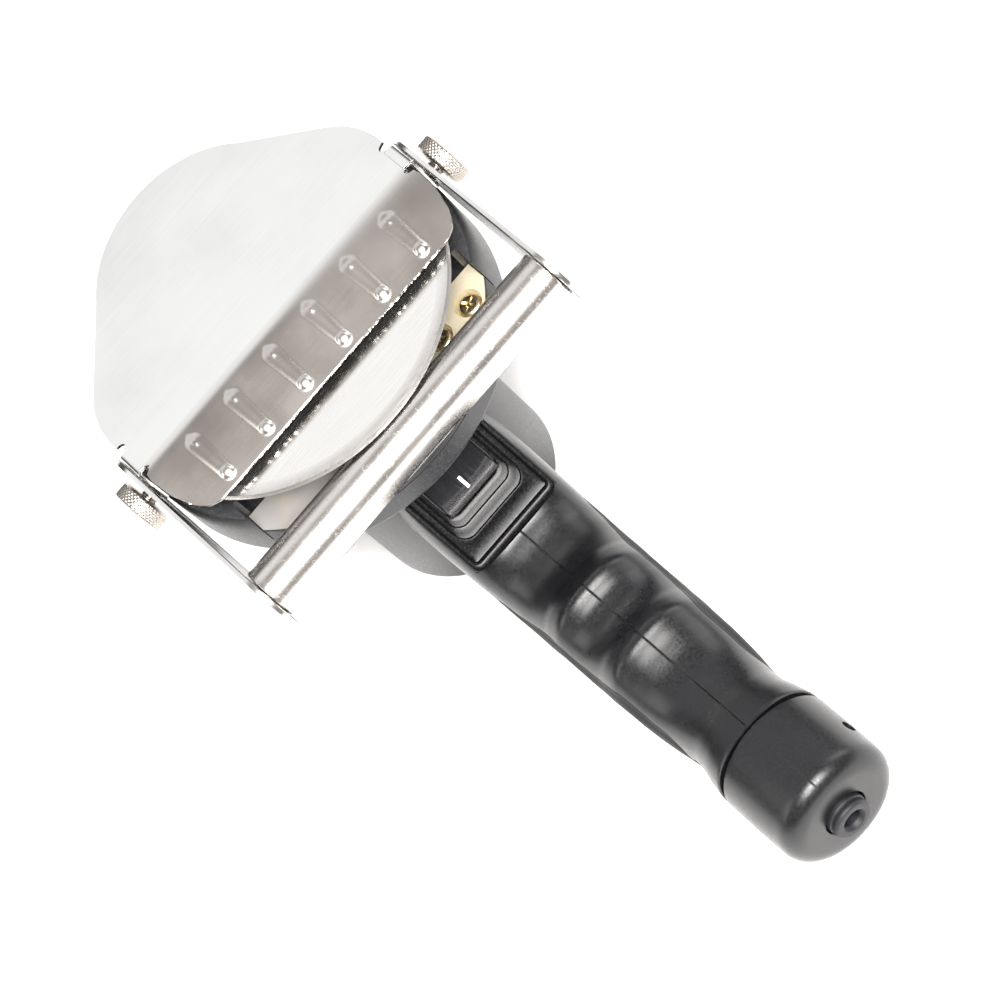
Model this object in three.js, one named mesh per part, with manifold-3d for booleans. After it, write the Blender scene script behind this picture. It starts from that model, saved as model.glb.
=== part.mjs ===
// Hand-held electric kebab slicer: round blade, guarded gear head, motor barrel
// and pistol grip.  Millimetres, +Z up.  The tool lies on the rear face of its
// barrel with the blade facing up; the grip points to -Y and the guard tube
// runs along X.  Shapes are drawn in the blade frame (blade top face at z = 0,
// blade axis through the origin) and moved at the end to the rest frame, whose
// origin is the bottom centre of the whole tool's box.
import * as THREE from 'three';
import { mergeVertices } from 'three/examples/jsm/utils/BufferGeometryUtils.js';
import Module from 'manifold-3d';

const wasm = await Module();
wasm.setup();
const { Manifold, Mesh: ManifoldMesh } = wasm;

// ---------------------------------------------------------------- dimensions
const GAP = 0.3;                       // clearance between neighbouring pieces

const BLADE_R = 49.5, BLADE_T = 1.5, BLADE_BEVEL = 3.2;
const HEAD_R = 51.5, HEAD_RIM_Z = -9.3, HEAD_BACK_Z = -33, HEAD_FLOOR_Z = -22;
const HEAD_BORE_R = 46.5, HEAD_WALL_Z = -30;
const PAD = { halfX: 41.6, y: -23.3, z: -17.1 };
const PAD_SCREWS = [[22.9, -31.6], [34, -31.3]];

const TUBE = { r: 7.3, wall: 1.5, y: -49.9, z: -9.5, halfX: 51.7 };
const ARM = { inner: 52.0, outer: 53.1, top: [-5.5, -4.5], topR: 12.2, endR: 12.3 };
const LUG = { x: 26, y0: -46, y1: -33.4, z0: -27.6, z1: -22.1 };
const ARM_SCREWS = [[-36.4, -24.9], [-42.8, -24.9]];   // y, z on the head's side lugs

const THUMB = { y: -5.5, z: -4.5, headR: 7.0, head0: 54.8, head1: 59.6, threadR: 2.4 };
const PLATE = { z: 9, t: 1, edgeZ: 3, bendY: -10.4, edgeY: -29.4, noseR: 33, noseY: 19 };
const RIB = { count: 6, pitch: 14.4, headY: -13.0, tailY: -26.4, r: 1.7, height: 1.1 };

const MOTOR_Y = -15;                   // motor axis, offset from the blade axis
const BARREL = { r: 26.5, z0: -90, z1: HEAD_BACK_Z - GAP, wall: 2.5 };
const GEAR = { module: 0.75, teeth: 30, pinionTeeth: 10, z0: -27, z1: -22.6 };

const WALL = 2.5;                      // grip shell wall
const SEAM_Y = -150.5, GRIP_Z = -69.5;
const CAP_R = 16.7, CAP_END_Y = -176.5, GLAND_END_Y = -179.6;
const CAP_HOLE = { y: -164.4, r: 1.9, angle: 17 * Math.PI / 180 };   // up from +X
// grip stations: y, half width, front z, rear z; the front dips into three
// finger scoops parted by crests at y -89.8 and -111.6
const GRIP = [
  [-26, 17.6, -33.4, -88.0],
  [-45.6, 17.5, -33.4, -87.6],
  [-64.2, 17.0, -51.9, -86.6],
  [-66.5, 17.0, -52.9, -86.5],
  [-71.0, 16.9, -54.5, -86.4],
  [-76.6, 16.8, -55.4, -86.3],
  [-82.0, 16.8, -54.4, -86.1],
  [-86.0, 16.7, -52.3, -86.0],
  [-89.8, 16.6, -51.0, -86.0],
  [-92.5, 16.6, -52.1, -86.0],
  [-95.5, 16.6, -53.4, -86.0],
  [-99.7, 16.6, -54.2, -86.0],
  [-104.0, 16.5, -53.5, -86.0],
  [-108.0, 16.5, -51.9, -86.0],
  [-111.6, 16.4, -51.0, -86.0],
  [-114.0, 16.3, -51.9, -86.0],
  [-118.0, 16.2, -53.6, -86.0],
  [-123.0, 15.9, -55.2, -85.9],
  [-128.3, 15.4, -55.9, -85.6],
  [-133.0, 14.8, -55.5, -85.2],
  [-138.0, 14.4, -54.8, -85.0],
  [-142.0, 14.8, -53.9, -85.2],
  [-146.0, 15.8, -53.3, -85.7],
  [SEAM_Y, CAP_R, GRIP_Z + CAP_R, GRIP_Z - CAP_R],
];
const INNER_FRONT_Z = -55.9;           // the deepest scoop, which the inner wall follows
const INNER_STATIONS = [-45.6, -64.2, -71.0, -99.7, -123.0, -138.0];
// switch pocket plane: lower end, length up the slope, half width
const POCKET = { y: -64.2, z: -51.9, length: 25.6, halfX: 15.0, slope: Math.PI / 4 };
const ROCKER = { s: 19.7, w: -4.2, half: 5.3, halfX: 8.9, tilt: -7 };
const SHELL_SCREWS = [[-55, -76], [-82, -76], [-112, -76], [-139, -69.5]];  // y, z

// ---------------------------------------------------------------- materials
const paint = (color, metalness, roughness) =>
  new THREE.MeshStandardMaterial({ color, metalness, roughness });
const LOOK = {
  sheet: () => paint(0xdcdcd8, 0.95, 0.25),
  blade: () => paint(0xd2d0d2, 1.0, 0.2),
  tube: () => paint(0xc4c0ba, 0.9, 0.35),
  nickel: () => paint(0xc4bcb4, 0.9, 0.3),
  steel: () => paint(0xa8a8aa, 0.9, 0.35),
  casting: () => paint(0x3a3b3d, 0.3, 0.6),
  machined: () => paint(0xc8bfae, 0.85, 0.4),
  brass: () => paint(0xc8a860, 0.9, 0.35),
  copper: () => paint(0xb06a3c, 0.9, 0.35),
  laminate: () => paint(0x6a6c70, 0.7, 0.5),
  shell: () => paint(0x35363a, 0.0, 0.55),
  pad: () => paint(0x2b2b2d, 0.0, 0.7),
  gloss: () => paint(0x101012, 0.0, 0.2),
  carbon: () => paint(0x222222, 0.1, 0.8),
  resin: () => paint(0x3c2e24, 0.0, 0.6),
  board: () => paint(0x2c5a3a, 0.0, 0.5),
  nylon: () => paint(0xd8d4c4, 0.0, 0.5),
};

// ---------------------------------------------------------------- solid helpers
// Closed, welded, outward-facing geometry with positions only.
function weld(geometry) {
  let g = geometry.clone();
  g.deleteAttribute('normal');
  g.deleteAttribute('uv');
  g = mergeVertices(g, 1e-4);
  const p = g.attributes.position.array, source = g.index.array, kept = [];
  for (let i = 0; i < source.length; i += 3) {
    const [a, b, c] = [source[i], source[i + 1], source[i + 2]];
    if (a !== b && b !== c && a !== c) kept.push(a, b, c);
  }
  let volume = 0;
  for (let i = 0; i < kept.length; i += 3) {
    const [a, b, c] = [kept[i] * 3, kept[i + 1] * 3, kept[i + 2] * 3];
    volume += p[a] * (p[b + 1] * p[c + 2] - p[b + 2] * p[c + 1])
      + p[a + 1] * (p[b + 2] * p[c] - p[b] * p[c + 2])
      + p[a + 2] * (p[b] * p[c + 1] - p[b + 1] * p[c]);
  }
  if (volume < 0) for (let i = 0; i < kept.length; i += 3) {
    [kept[i + 1], kept[i + 2]] = [kept[i + 2], kept[i + 1]];
  }
  g.setIndex(kept);
  return g;
}

function toManifold(geometry) {
  const g = weld(geometry);
  return new Manifold(new ManifoldMesh({
    numProp: 3,
    vertProperties: new Float32Array(g.attributes.position.array),
    triVerts: new Uint32Array(g.index.array),
  }));
}

function fromManifold(solid) {
  const mesh = solid.getMesh();
  const g = new THREE.BufferGeometry();
  g.setAttribute('position', new THREE.BufferAttribute(new Float32Array(mesh.vertProperties), 3));
  g.setIndex(Array.from(mesh.triVerts));
  return g;
}

const join = (...parts) => fromManifold(Manifold.union(parts.map(toManifold)));
const cut = (base, ...tools) =>
  fromManifold(toManifold(base).subtract(Manifold.union(tools.map(toManifold))));
const meet = (a, b) => fromManifold(toManifold(a).intersect(toManifold(b)));

function box(x0, x1, y0, y1, z0, z1) {
  return new THREE.BoxGeometry(x1 - x0, y1 - y0, z1 - z0)
    .translate((x0 + x1) / 2, (y0 + y1) / 2, (z0 + z1) / 2);
}

// Solid of revolution about a Z axis through (x, y); profile is [[r, z], ...].
function turned(profile, x = 0, y = 0, segments = 32) {
  const points = profile.map(([r, z]) => new THREE.Vector2(r, z));
  return new THREE.LatheGeometry(points, segments).rotateX(Math.PI / 2).translate(x, y, 0);
}

const disc = (r, z0, z1, x = 0, y = 0, segments = 32) =>
  turned([[0, z0], [r, z0], [r, z1], [0, z1]], x, y, segments);
const ring = (rOut, rIn, z0, z1, x = 0, y = 0, segments = 32) =>
  turned([[rIn, z0], [rOut, z0], [rOut, z1], [rIn, z1], [rIn, z0]], x, y, segments);

// The same along X, centred on (y, z); profile is [[r, x], ...].
const turnedX = (profile, y, z, segments = 24) =>
  turned(profile, 0, 0, segments).rotateY(Math.PI / 2).translate(0, y, z);
const rodX = (r, x0, x1, y, z, segments = 24) =>
  turnedX([[0, x0], [r, x0], [r, x1], [0, x1]], y, z, segments);
const ringX = (rOut, rIn, x0, x1, y, z, segments = 24) =>
  turnedX([[rIn, x0], [rOut, x0], [rOut, x1], [rIn, x1], [rIn, x0]], y, z, segments);

// Flat outline in XY extruded between z0 and z1.
function prism(outline, z0, z1) {
  const shape = new THREE.Shape(outline.map(([x, y]) => new THREE.Vector2(x, y)));
  return new THREE.ExtrudeGeometry(shape, { depth: z1 - z0, bevelEnabled: false })
    .translate(0, 0, z0);
}

// Flat outline in YZ extruded between x0 and x1.
function prismX(outline, x0, x1) {
  const g = prism(outline, x0, x1);
  const m = new THREE.Matrix4().set(0, 0, 1, 0, 1, 0, 0, 0, 0, 1, 0, 0, 0, 0, 0, 1);
  return g.applyMatrix4(m);
}

const mirrorX = (geometry) => weld(geometry.clone().scale(-1, 1, 1));
const arc = (cx, cy, r, a0, a1, n) => Array.from({ length: n + 1 }, (_, i) => {
  const a = (a0 + (a1 - a0) * i / n) * Math.PI / 180;
  return [cx + r * Math.cos(a), cy + r * Math.sin(a)];
});

// Skin through equal-sized loops of points, capped at both ends.
function loft(loops) {
  const n = loops[0].length, position = loops.flat(2), index = [];
  const at = (loop, i) => loop * n + (i % n);
  for (let l = 0; l + 1 < loops.length; l++) for (let i = 0; i < n; i++) {
    index.push(at(l, i), at(l, i + 1), at(l + 1, i));
    index.push(at(l + 1, i), at(l, i + 1), at(l + 1, i + 1));
  }
  for (let i = 1; i + 1 < n; i++) {
    index.push(0, i + 1, i);
    index.push(at(loops.length - 1, 0), at(loops.length - 1, i), at(loops.length - 1, i + 1));
  }
  const g = new THREE.BufferGeometry();
  g.setAttribute('position', new THREE.Float32BufferAttribute(position, 3));
  g.setIndex(index);
  return g;
}

// Gear outline with straight-sided teeth, centred on (x, y).
function gearOutline(teeth, x, y, phase) {
  const pitch = GEAR.module * teeth / 2;
  const tip = pitch + GEAR.module * 0.78, root = pitch - GEAR.module * 1.1;
  const steps = [[root, -0.34], [tip, -0.12], [tip, 0.12], [root, 0.34]];
  const outline = [];
  for (let i = 0; i < teeth; i++) for (const [r, offset] of steps) {
    const a = 2 * Math.PI * (i + offset + phase) / teeth;
    outline.push([x + r * Math.cos(a), y + r * Math.sin(a)]);
  }
  return outline;
}

const hexagon = (r, x, y) => arc(x, y, r, 0, 300, 5);

// ---------------------------------------------------------------- blade group
const bladeDisc = turned([
  [4.3, -BLADE_T], [BLADE_R - 0.6, -BLADE_T], [BLADE_R, -BLADE_T + 0.15],
  [BLADE_R - BLADE_BEVEL, 0], [4.3, 0], [4.3, -BLADE_T],
], 0, 0, 64);
const bladeHub = ring(14, 4.3, -9.6, -BLADE_T - GAP, 0, 0, 28);
const spindle = turned([
  [0, -31.4], [3, -31.4], [3, -27.6], [4, -27.6], [4, 4.4], [3.2, 5.4], [0, 5.4],
], 0, 0, 16);
const bladeWasher = ring(10, 4.3, GAP, 1.1, 0, 0, 24);
const bladeNut = cut(prism(hexagon(7.2, 0, 0), 1.4, 5.2), disc(4.3, 0, 6, 0, 0, 16));
const driveGear = cut(prism(gearOutline(GEAR.teeth, 0, 0, 0.25), GEAR.z0, GEAR.z1),
  disc(4.3, -30, -20, 0, 0, 16));

// ---------------------------------------------------------------- gear head
const headOuter = turned([
  [0, HEAD_BACK_Z], [HEAD_R - 4, HEAD_BACK_Z], [HEAD_R, HEAD_BACK_Z + 4],
  [HEAD_R, HEAD_RIM_Z - 0.8], [HEAD_R - 0.8, HEAD_RIM_Z], [0, HEAD_RIM_Z],
], 0, 0, 60);
const sideLug = box(LUG.x, ARM.inner - GAP, LUG.y0, LUG.y1, LUG.z0, LUG.z1);
const gearHead = cut(join(headOuter, sideLug, mirrorX(sideLug)),
  disc(HEAD_BORE_R, HEAD_FLOOR_Z, 0, 0, 0, 48),                       // open front
  box(-PAD.halfX - GAP, PAD.halfX + GAP, -60, PAD.y + GAP, HEAD_FLOOR_Z, 0),
  disc(13.2, HEAD_WALL_Z, 0, 0, 0, 28),                               // gear chamber
  disc(6, HEAD_WALL_Z, 0, 0, MOTOR_Y, 18),
  disc(8.4, -32, HEAD_WALL_Z + 1, 0, 0, 20),                          // spindle rear bearing
  disc(6.8, -40, HEAD_WALL_Z + 1, 0, MOTOR_Y, 20),                    // motor nose bearing
  ...PAD_SCREWS.map(([x, y]) => disc(1.9, -30, 0, x, y, 10)),
  ...ARM_SCREWS.flatMap(([y, z]) => [rodX(1.9, 44, 60, y, z, 10), rodX(1.9, -60, -44, y, z, 10)]));
const mountPad = cut(
  meet(box(-PAD.halfX, PAD.halfX, -60, PAD.y, HEAD_FLOOR_Z + GAP, PAD.z),
    disc(HEAD_R, -24, -10, 0, 0, 60)),
  disc(23.6, -30, 0, 0, 0, 32),
  ...PAD_SCREWS.flatMap(([x, y]) => [disc(1.9, -30, 0, x, y, 10), disc(3.9, -19.4, 0, x, y, 16)]));
const padScrew = ([x, y]) => cut(
  join(disc(1.5, -29, -18, x, y, 10), disc(3.4, -19.1, -17.4, x, y, 16)),
  box(x - 2.2, x + 2.2, y - 0.4, y + 0.4, -18.2, -17),
  box(x - 0.4, x + 0.4, y - 2.2, y + 2.2, -18.2, -17));
// lid over the gear chamber; carries the front bearing
const bearingLid = cut(
  join(disc(22, HEAD_FLOOR_Z + GAP, -19.6, 0, 0, 32), disc(12.4, -21, -13.4, 0, 0, 24)),
  disc(9.8, -30, -14.6, 0, 0, 20), disc(5, -30, 0, 0, 0, 16));
const frontBearing = ring(9.4, 4.3, -21.6, -14.9, 0, 0, 20);
const rearBearing = ring(8, 3.3, -31.7, -27.9, 0, 0, 20);
const sealRing = ring(8.2, 4.4, -13.1, -9.9, 0, 0, 20);

// ---------------------------------------------------------------- guard frame
const guardTube = ringX(TUBE.r, TUBE.r - TUBE.wall, -TUBE.halfX, TUBE.halfX, TUBE.y, TUBE.z, 28);
const tubePlug = cut(rodX(TUBE.r - TUBE.wall - GAP, 42, TUBE.halfX, TUBE.y, TUBE.z, 18),
  rodX(1.9, 40, 60, TUBE.y, TUBE.z, 10));
const flushScrew = (length, y, z) => cut(turnedX([
  [0, ARM.inner - length], [1.6, ARM.inner - length], [1.6, ARM.inner],
  [2.7, ARM.outer], [0, ARM.outer],
], y, z, 12), box(ARM.outer - 0.8, 60, y - 0.4, y + 0.4, z - 2, z + 2));
function armOutline() {
  const [y0, z0] = ARM.top;
  return [
    ...arc(y0, z0, ARM.topR, -20, 100, 8),
    ...arc(TUBE.y, TUBE.z, ARM.endR, 96, 250, 12),
    [-47, -28.6], [-32.5, -28.6], [-24, -24], [-8, -19],
  ];
}
const armBlank = cut(prismX(armOutline(), ARM.inner, ARM.outer),
  box(50, 56, THUMB.y - 2.75, THUMB.y + 2.75, THUMB.z - 2, THUMB.z + 5.4),
  rodX(2.75, 50, 56, THUMB.y, THUMB.z - 1.8, 14), rodX(2.75, 50, 56, THUMB.y, THUMB.z + 5.4, 14),
  ...[...ARM_SCREWS, [TUBE.y, TUBE.z]].map(([y, z]) =>
    turnedX([[0, 51], [1.95, 51], [1.95, ARM.inner], [3.05, ARM.outer], [3.05, 54], [0, 54]], y, z, 12)));

// ---------------------------------------------------------------- guide plate
const plateOutline = (() => {
  const right = [
    ...arc(0, PLATE.noseY, PLATE.noseR, 90, 35, 9),
    [44.4, 18.6], [47.4, 14.6], [49.4, 9.4], [50.2, 4.2], [50.2, 1.2], [48.6, 0.2],
    [48.6, PLATE.bendY],
  ];
  return [...right, ...right.slice(1).reverse().map(([x, y]) => [-x, y])];
})();
const slope = (y) => PLATE.z + (y - PLATE.bendY) * (PLATE.z - PLATE.edgeZ) / (PLATE.bendY - PLATE.edgeY);
const flatPlate = prism(plateOutline, PLATE.z - PLATE.t, PLATE.z);
// sloping ribbed strip, narrowing to rounded lower corners
const strip = loft([
  [49.2, PLATE.bendY + 0.6], [50.1, -13], [49.6, -19], [48.2, -24], [45.4, -28], [42.6, PLATE.edgeY],
].map(([w, y]) => {
  const z = slope(Math.min(y, PLATE.bendY));
  return [[-w, y, z - PLATE.t], [w, y, z - PLATE.t], [w, y, z], [-w, y, z]];
}));
const edgeLip = box(-42.4, 42.4, PLATE.edgeY - 0.7, PLATE.edgeY + 0.4, PLATE.edgeZ - 1.2, PLATE.edgeZ);
const ear = cut(join(
  box(50.4, 51.6, -9.8, -0.6, -7.6, PLATE.z), box(48, 51.6, -9.8, -0.6, PLATE.z - PLATE.t, PLATE.z)),
  rodX(THUMB.threadR + 0.2, 49, 53, THUMB.y, THUMB.z, 14));
function rib(x) {
  const y0 = RIB.headY, y1 = RIB.tailY, r = RIB.r;
  const side = (y, w, lift) => {
    const z = slope(y);
    return [[-w, z - 0.4], [w, z - 0.4], [w * 0.55, z + lift], [-w * 0.55, z + lift]]
      .map(([dx, pz]) => [x + dx, y, pz]);
  };
  return loft([
    side(y0, r * 0.7, 0.3), side(y0 - 1.3, r * 1.15, RIB.height), side(y0 - 3.4, r * 1.15, RIB.height),
    side(y0 - 5.6, r * 0.75, RIB.height), side(y1 + 3.4, r * 0.95, RIB.height),
    side(y1 + 1.3, r * 1.05, RIB.height), side(y1, r * 0.7, 0.3),
  ]);
}
const ribs = Array.from({ length: RIB.count }, (_, i) => rib((i - (RIB.count - 1) / 2) * RIB.pitch));
const guidePlate = join(flatPlate, strip, edgeLip, ear, mirrorX(ear), ...ribs);

const thumbScrew = turnedX([
  [0, 50.5], [THUMB.threadR, 50.5], [THUMB.threadR, THUMB.head0],
  [THUMB.headR - 1, THUMB.head0], [THUMB.headR, THUMB.head0 + 0.8],
  [THUMB.headR, THUMB.head1 - 0.8], [THUMB.headR - 1, THUMB.head1], [0, THUMB.head1],
], THUMB.y, THUMB.z, 24);

// ---------------------------------------------------------------- motor
const motor = (profile, segments = 32) => turned(profile, 0, MOTOR_Y, segments);
const motorRing = (rOut, rIn, z0, z1, segments = 32) => ring(rOut, rIn, z0, z1, 0, MOTOR_Y, segments);
const motorShaft = motor([
  [0, -87.2], [2.5, -87.2], [2.5, -28.2], [1.9, -28.2], [1.9, -22.4], [0, -22.4],
], 12);
const pinion = cut(prism(gearOutline(GEAR.pinionTeeth, 0, MOTOR_Y, 0.25), GEAR.z0, GEAR.z1),
  disc(2.2, -30, -20, 0, MOTOR_Y, 20));
const noseBearing = motorRing(6.4, 2.8, -32.8, -29.4, 16);
const tailBearing = motorRing(6.4, 2.8, -87.0, -83.2, 16);
const armatureCore = motorRing(10.8, 2.8, -70, -46, 20);
const windings = (z0, z1) => motor([[2.8, z0], [9.4, z0 + 1.2], [9.4, z1 - 1.2], [2.8, z1], [2.8, z0]], 16);
const armature = join(armatureCore, windings(-75, -69.8), windings(-46.2, -41.4));
const commutator = motorRing(6.6, 2.8, -82.4, -75.6, 16);
const fan = (() => {
  const blades = Array.from({ length: 9 }, (_, i) => box(6, 18.6, -0.5, 0.5, -39.6, -35.6)
    .rotateZ(2 * Math.PI * i / 9).translate(0, MOTOR_Y, 0));
  return join(motorRing(18.8, 2.8, -41, -39.4, 24), motorRing(6.4, 2.8, -40, -35.6, 16), ...blades);
})();
const stator = cut(motorRing(21.4, 11.4, -70, -46, 28),
  ...[1, -1].map((s) => box(-12.5, 12.5, MOTOR_Y + s * 13.3 - 2.5, MOTOR_Y + s * 13.3 + 2.5, -71, -45)));
const fieldCoil = (s) => {
  return box(-12.2, 12.2, MOTOR_Y + s * 13.3 - 2.1, MOTOR_Y + s * 13.3 + 2.1, -74.6, -42);
};
const brushHolder = (s) => {
  const shell = box(8, 19, MOTOR_Y - 3.6, MOTOR_Y + 3.6, -82.2, -76.2);
  const bore = box(7, 20, MOTOR_Y - 2.4, MOTOR_Y + 2.4, -80.9, -77.5);
  const g = cut(shell, bore);
  return s > 0 ? g : mirrorX(g);
};
const brush = (s) => {
  const g = box(6.9, 15, MOTOR_Y - 2.1, MOTOR_Y + 2.1, -80.6, -77.8);
  return s > 0 ? g : mirrorX(g);
};

// ---------------------------------------------------------------- grip shells
// One cross-section of the grip: a soft rectangle between front and rear z.
function gripLoop([y, half, front, rear], inset, n) {
  const w = half - inset, mid = (front + rear) / 2, h = (front - rear) / 2 - inset;
  const power = y > -60 ? 0.6 : 0.82;
  return Array.from({ length: n }, (_, i) => {
    const a = 2 * Math.PI * (i + 0.5) / n, c = Math.cos(a), s = Math.sin(a);
    return [w * Math.sign(c) * Math.abs(c) ** power, y, mid + h * Math.sign(s) * Math.abs(s) ** power];
  });
}
const barrelOuter = turned([
  [0, BARREL.z0], [BARREL.r - 2.2, BARREL.z0], [BARREL.r, BARREL.z0 + 2.2],
  [BARREL.r, BARREL.z1], [0, BARREL.z1],
], 0, MOTOR_Y, 44);
const gripOuter = loft(GRIP.map((station) => gripLoop(station, 0, 20)));
const innerStations = GRIP.filter(([y]) => INNER_STATIONS.includes(y))
  .map(([y, w, f, r]) => [y, w, y > -65 ? f : INNER_FRONT_Z, r]);
const gripInner = loft([
  [-35, ...GRIP[1].slice(1)], ...innerStations, [SEAM_Y - 5, ...GRIP.at(-2).slice(1)],
].map((station) => gripLoop(station, WALL, 12)));
const barrelInner = disc(BARREL.r - BARREL.wall, BARREL.z0 + 2.4, HEAD_BACK_Z + 5, 0, MOTOR_Y, 28);

// Pocket frame: x across, s up the slope from the lower end, w out of the face.
const pocketMatrix = new THREE.Matrix4().makeTranslation(0, POCKET.y, POCKET.z)
  .multiply(new THREE.Matrix4().makeRotationX(POCKET.slope));
const pocketBox = (x0, x1, s0, s1, w0, w1) => box(x0, x1, s0, s1, w0, w1).applyMatrix4(pocketMatrix);

const shellVents = [1, -1].flatMap((side) => Array.from({ length: 5 }, (_, i) =>
  box(side * 5 - 3.5, side * 5 + 3.5, MOTOR_Y - 13 + i * 6.5 - 1, MOTOR_Y - 13 + i * 6.5 + 1, -92, -86)))
  .filter((_, i) => i % 5 !== 2);
// pads set into the rear of each flank: corners y, z and the outline's middle
const PAD_OUTLINE = [[-68, -66], [-96, -63], [-128, -66], [-134, -74], [-128, -80.5], [-72, -81]];
const PAD_MIDDLE = [-100, -73], PAD_HALF = [33, 8.5], PAD_INNER_X = 13.6;
const padSlot = (grow) => prismX(PAD_OUTLINE.map((corner) => corner.map((value, i) =>
  PAD_MIDDLE[i] + (value - PAD_MIDDLE[i]) * (1 + grow / PAD_HALF[i]))), PAD_INNER_X - grow, 30);
const gripSkin = loft(GRIP.filter(([y]) => y < -60).map((station) => gripLoop(station, 0, 20)));
const gripPad = meet(padSlot(0), gripSkin);

const seat = motorRing(9.2, 6.8, -88.5, -83.6, 16);
const bosses = SHELL_SCREWS.map(([y, z]) => rodX(3.9, -13.5, 13.5, y, z, 10));
const shellBody = cut(
  join(cut(join(barrelOuter, gripOuter), join(barrelInner, gripInner)), seat, ...bosses),
  pocketBox(-POCKET.halfX - GAP, POCKET.halfX + GAP, -0.2, POCKET.length + 9, -6.2, 9),
  box(-40, 40, -80, 40, HEAD_BACK_Z - GAP, 0),
  padSlot(GAP), mirrorX(padSlot(GAP)), ...shellVents,
  ...SHELL_SCREWS.flatMap(([y, z]) => [
    rodX(1.9, -20, 11, y, z, 10), rodX(3.5, -20, -9.8, y, z, 12),
  ]));
const halfShell = (side) => meet(shellBody,
  side > 0 ? box(GAP / 2, 60, -200, 60, -120, 20) : box(-60, -GAP / 2, -200, 60, -120, 20));
const shellScrew = ([y, z]) => cut(
  join(rodX(1.4, -11.5, 9.6, y, z, 10), rodX(3.0, -11.6, -10.1, y, z, 12)),
  box(-13, -11, y - 0.4, y + 0.4, z - 2, z + 2), box(-13, -11, y - 2, y + 2, z - 0.4, z + 0.4));

// ---------------------------------------------------------------- switch
const bezelSteps = [
  // half x, s from, depth
  [13.2, 3.0, 1.2], [11.6, 7.7, 2.3], [10.4, 10.9, 3.4],
];
const switchBezel = cut(pocketBox(-POCKET.halfX, POCKET.halfX, 0.2, POCKET.length, -5.9, 0),
  ...bezelSteps.map(([half, s, depth]) => pocketBox(-half, half, s, POCKET.length + 1, -depth, 1)),
  pocketBox(-ROCKER.halfX - GAP, ROCKER.halfX + GAP, 14.1, POCKET.length - 0.3, -7, 1));
const rocker = (() => {
  const t = ROCKER.tilt * Math.PI / 180;
  const outline = [[-1, -1.0], [0, -2.6], [1, -1.0], [1, 1.2], [0, -0.9], [-1, 1.2]].map(([k, w]) => {
    const s = k * ROCKER.half;
    return [ROCKER.s + s * Math.cos(t) - w * Math.sin(t), ROCKER.w + s * Math.sin(t) + w * Math.cos(t)];
  });
  return prismX(outline, -ROCKER.halfX, ROCKER.halfX).applyMatrix4(pocketMatrix);
})();
const switchBody = pocketBox(-6.8, 6.8, 13.2, POCKET.length - 0.7, -12.6, -7.3);

// ---------------------------------------------------------------- grip end
const capProfile = (y0, y1, r, round) => [
  [0, y0], [r, y0], [r + 0.2, (y0 + y1) / 2], [r, y1 + round],
  [r - round * 0.3, y1 + round * 0.3], [r - round, y1], [0, y1],
];
// revolve about the grip axis (parallel to Y)
const turnedY = (profile, segments = 32) => {
  const points = profile.map(([r, y]) => new THREE.Vector2(r, y));
  return new THREE.LatheGeometry(points, segments).translate(0, 0, GRIP_Z);
};
const endCap = cut(
  join(turnedY(capProfile(SEAM_Y - 0.6, CAP_END_Y, CAP_R, 5), 32),
    turnedY([[0, -146], [11.6, -146], [11.6, -154], [0, -154], [0, -146]], 20)),
  turnedY([[0, -140], [9.8, -140], [9.8, CAP_END_Y + 3.4], [0, CAP_END_Y + 3.4]], 20),
  turnedY([[0, -160], [5.9, -160], [5.9, -190], [0, -190]], 18),
  rodX(CAP_HOLE.r, 10, 20, CAP_HOLE.y, 0, 16).rotateY(-CAP_HOLE.angle).translate(0, 0, GRIP_Z));
const cableGland = turnedY([
  [2.6, -168], [7.6, -168], [7.6, -172.6], [5.6, -172.6], [5.6, GLAND_END_Y + 0.8],
  [4.9, GLAND_END_Y], [2.6, GLAND_END_Y], [2.6, -168]], 18);

const controlBoard = join(box(-9, 9, -128, -96, -71.6, -70.2),
  box(-5, 5, -122, -112, -71, -66), box(-6, 6, -108, -100, -71, -63));
const cordClamp = box(-8, 8, -144.6, -139.6, -66, -63.2).translate(0, 0, 1.6);

// ---------------------------------------------------------------- assembly
const nodes = [];
const add = (name, geometry, look) => nodes.push([name, geometry, look]);
const pair = (name, geometry, look) => {
  add(`${name}_right`, geometry, look);
  add(`${name}_left`, mirrorX(geometry), look);
};

add('guide_plate', guidePlate, LOOK.sheet);
pair('thumb_screw', thumbScrew, LOOK.nickel);
pair('guard_arm', armBlank, LOOK.sheet);
add('guard_tube', guardTube, LOOK.tube);
pair('tube_plug', tubePlug, LOOK.nylon);
pair('tube_screw', flushScrew(9, TUBE.y, TUBE.z), LOOK.steel);
ARM_SCREWS.forEach(([y, z], i) => pair(`arm_screw_${i + 1}`, flushScrew(7.4, y, z), LOOK.steel));

add('blade', bladeDisc, LOOK.blade);
add('blade_hub', bladeHub, LOOK.steel);
add('blade_washer', bladeWasher, LOOK.steel);
add('blade_nut', bladeNut, LOOK.steel);
add('spindle', spindle, LOOK.steel);
add('drive_gear', driveGear, LOOK.brass);

add('gear_head', gearHead, LOOK.casting);
add('mount_pad', mountPad, LOOK.machined);
PAD_SCREWS.forEach((spot, i) => add(`pad_screw_${i + 1}`, padScrew(spot), LOOK.brass));
add('bearing_lid', bearingLid, LOOK.casting);
add('front_bearing', frontBearing, LOOK.steel);
add('rear_bearing', rearBearing, LOOK.steel);
add('seal_ring', sealRing, LOOK.carbon);

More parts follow.
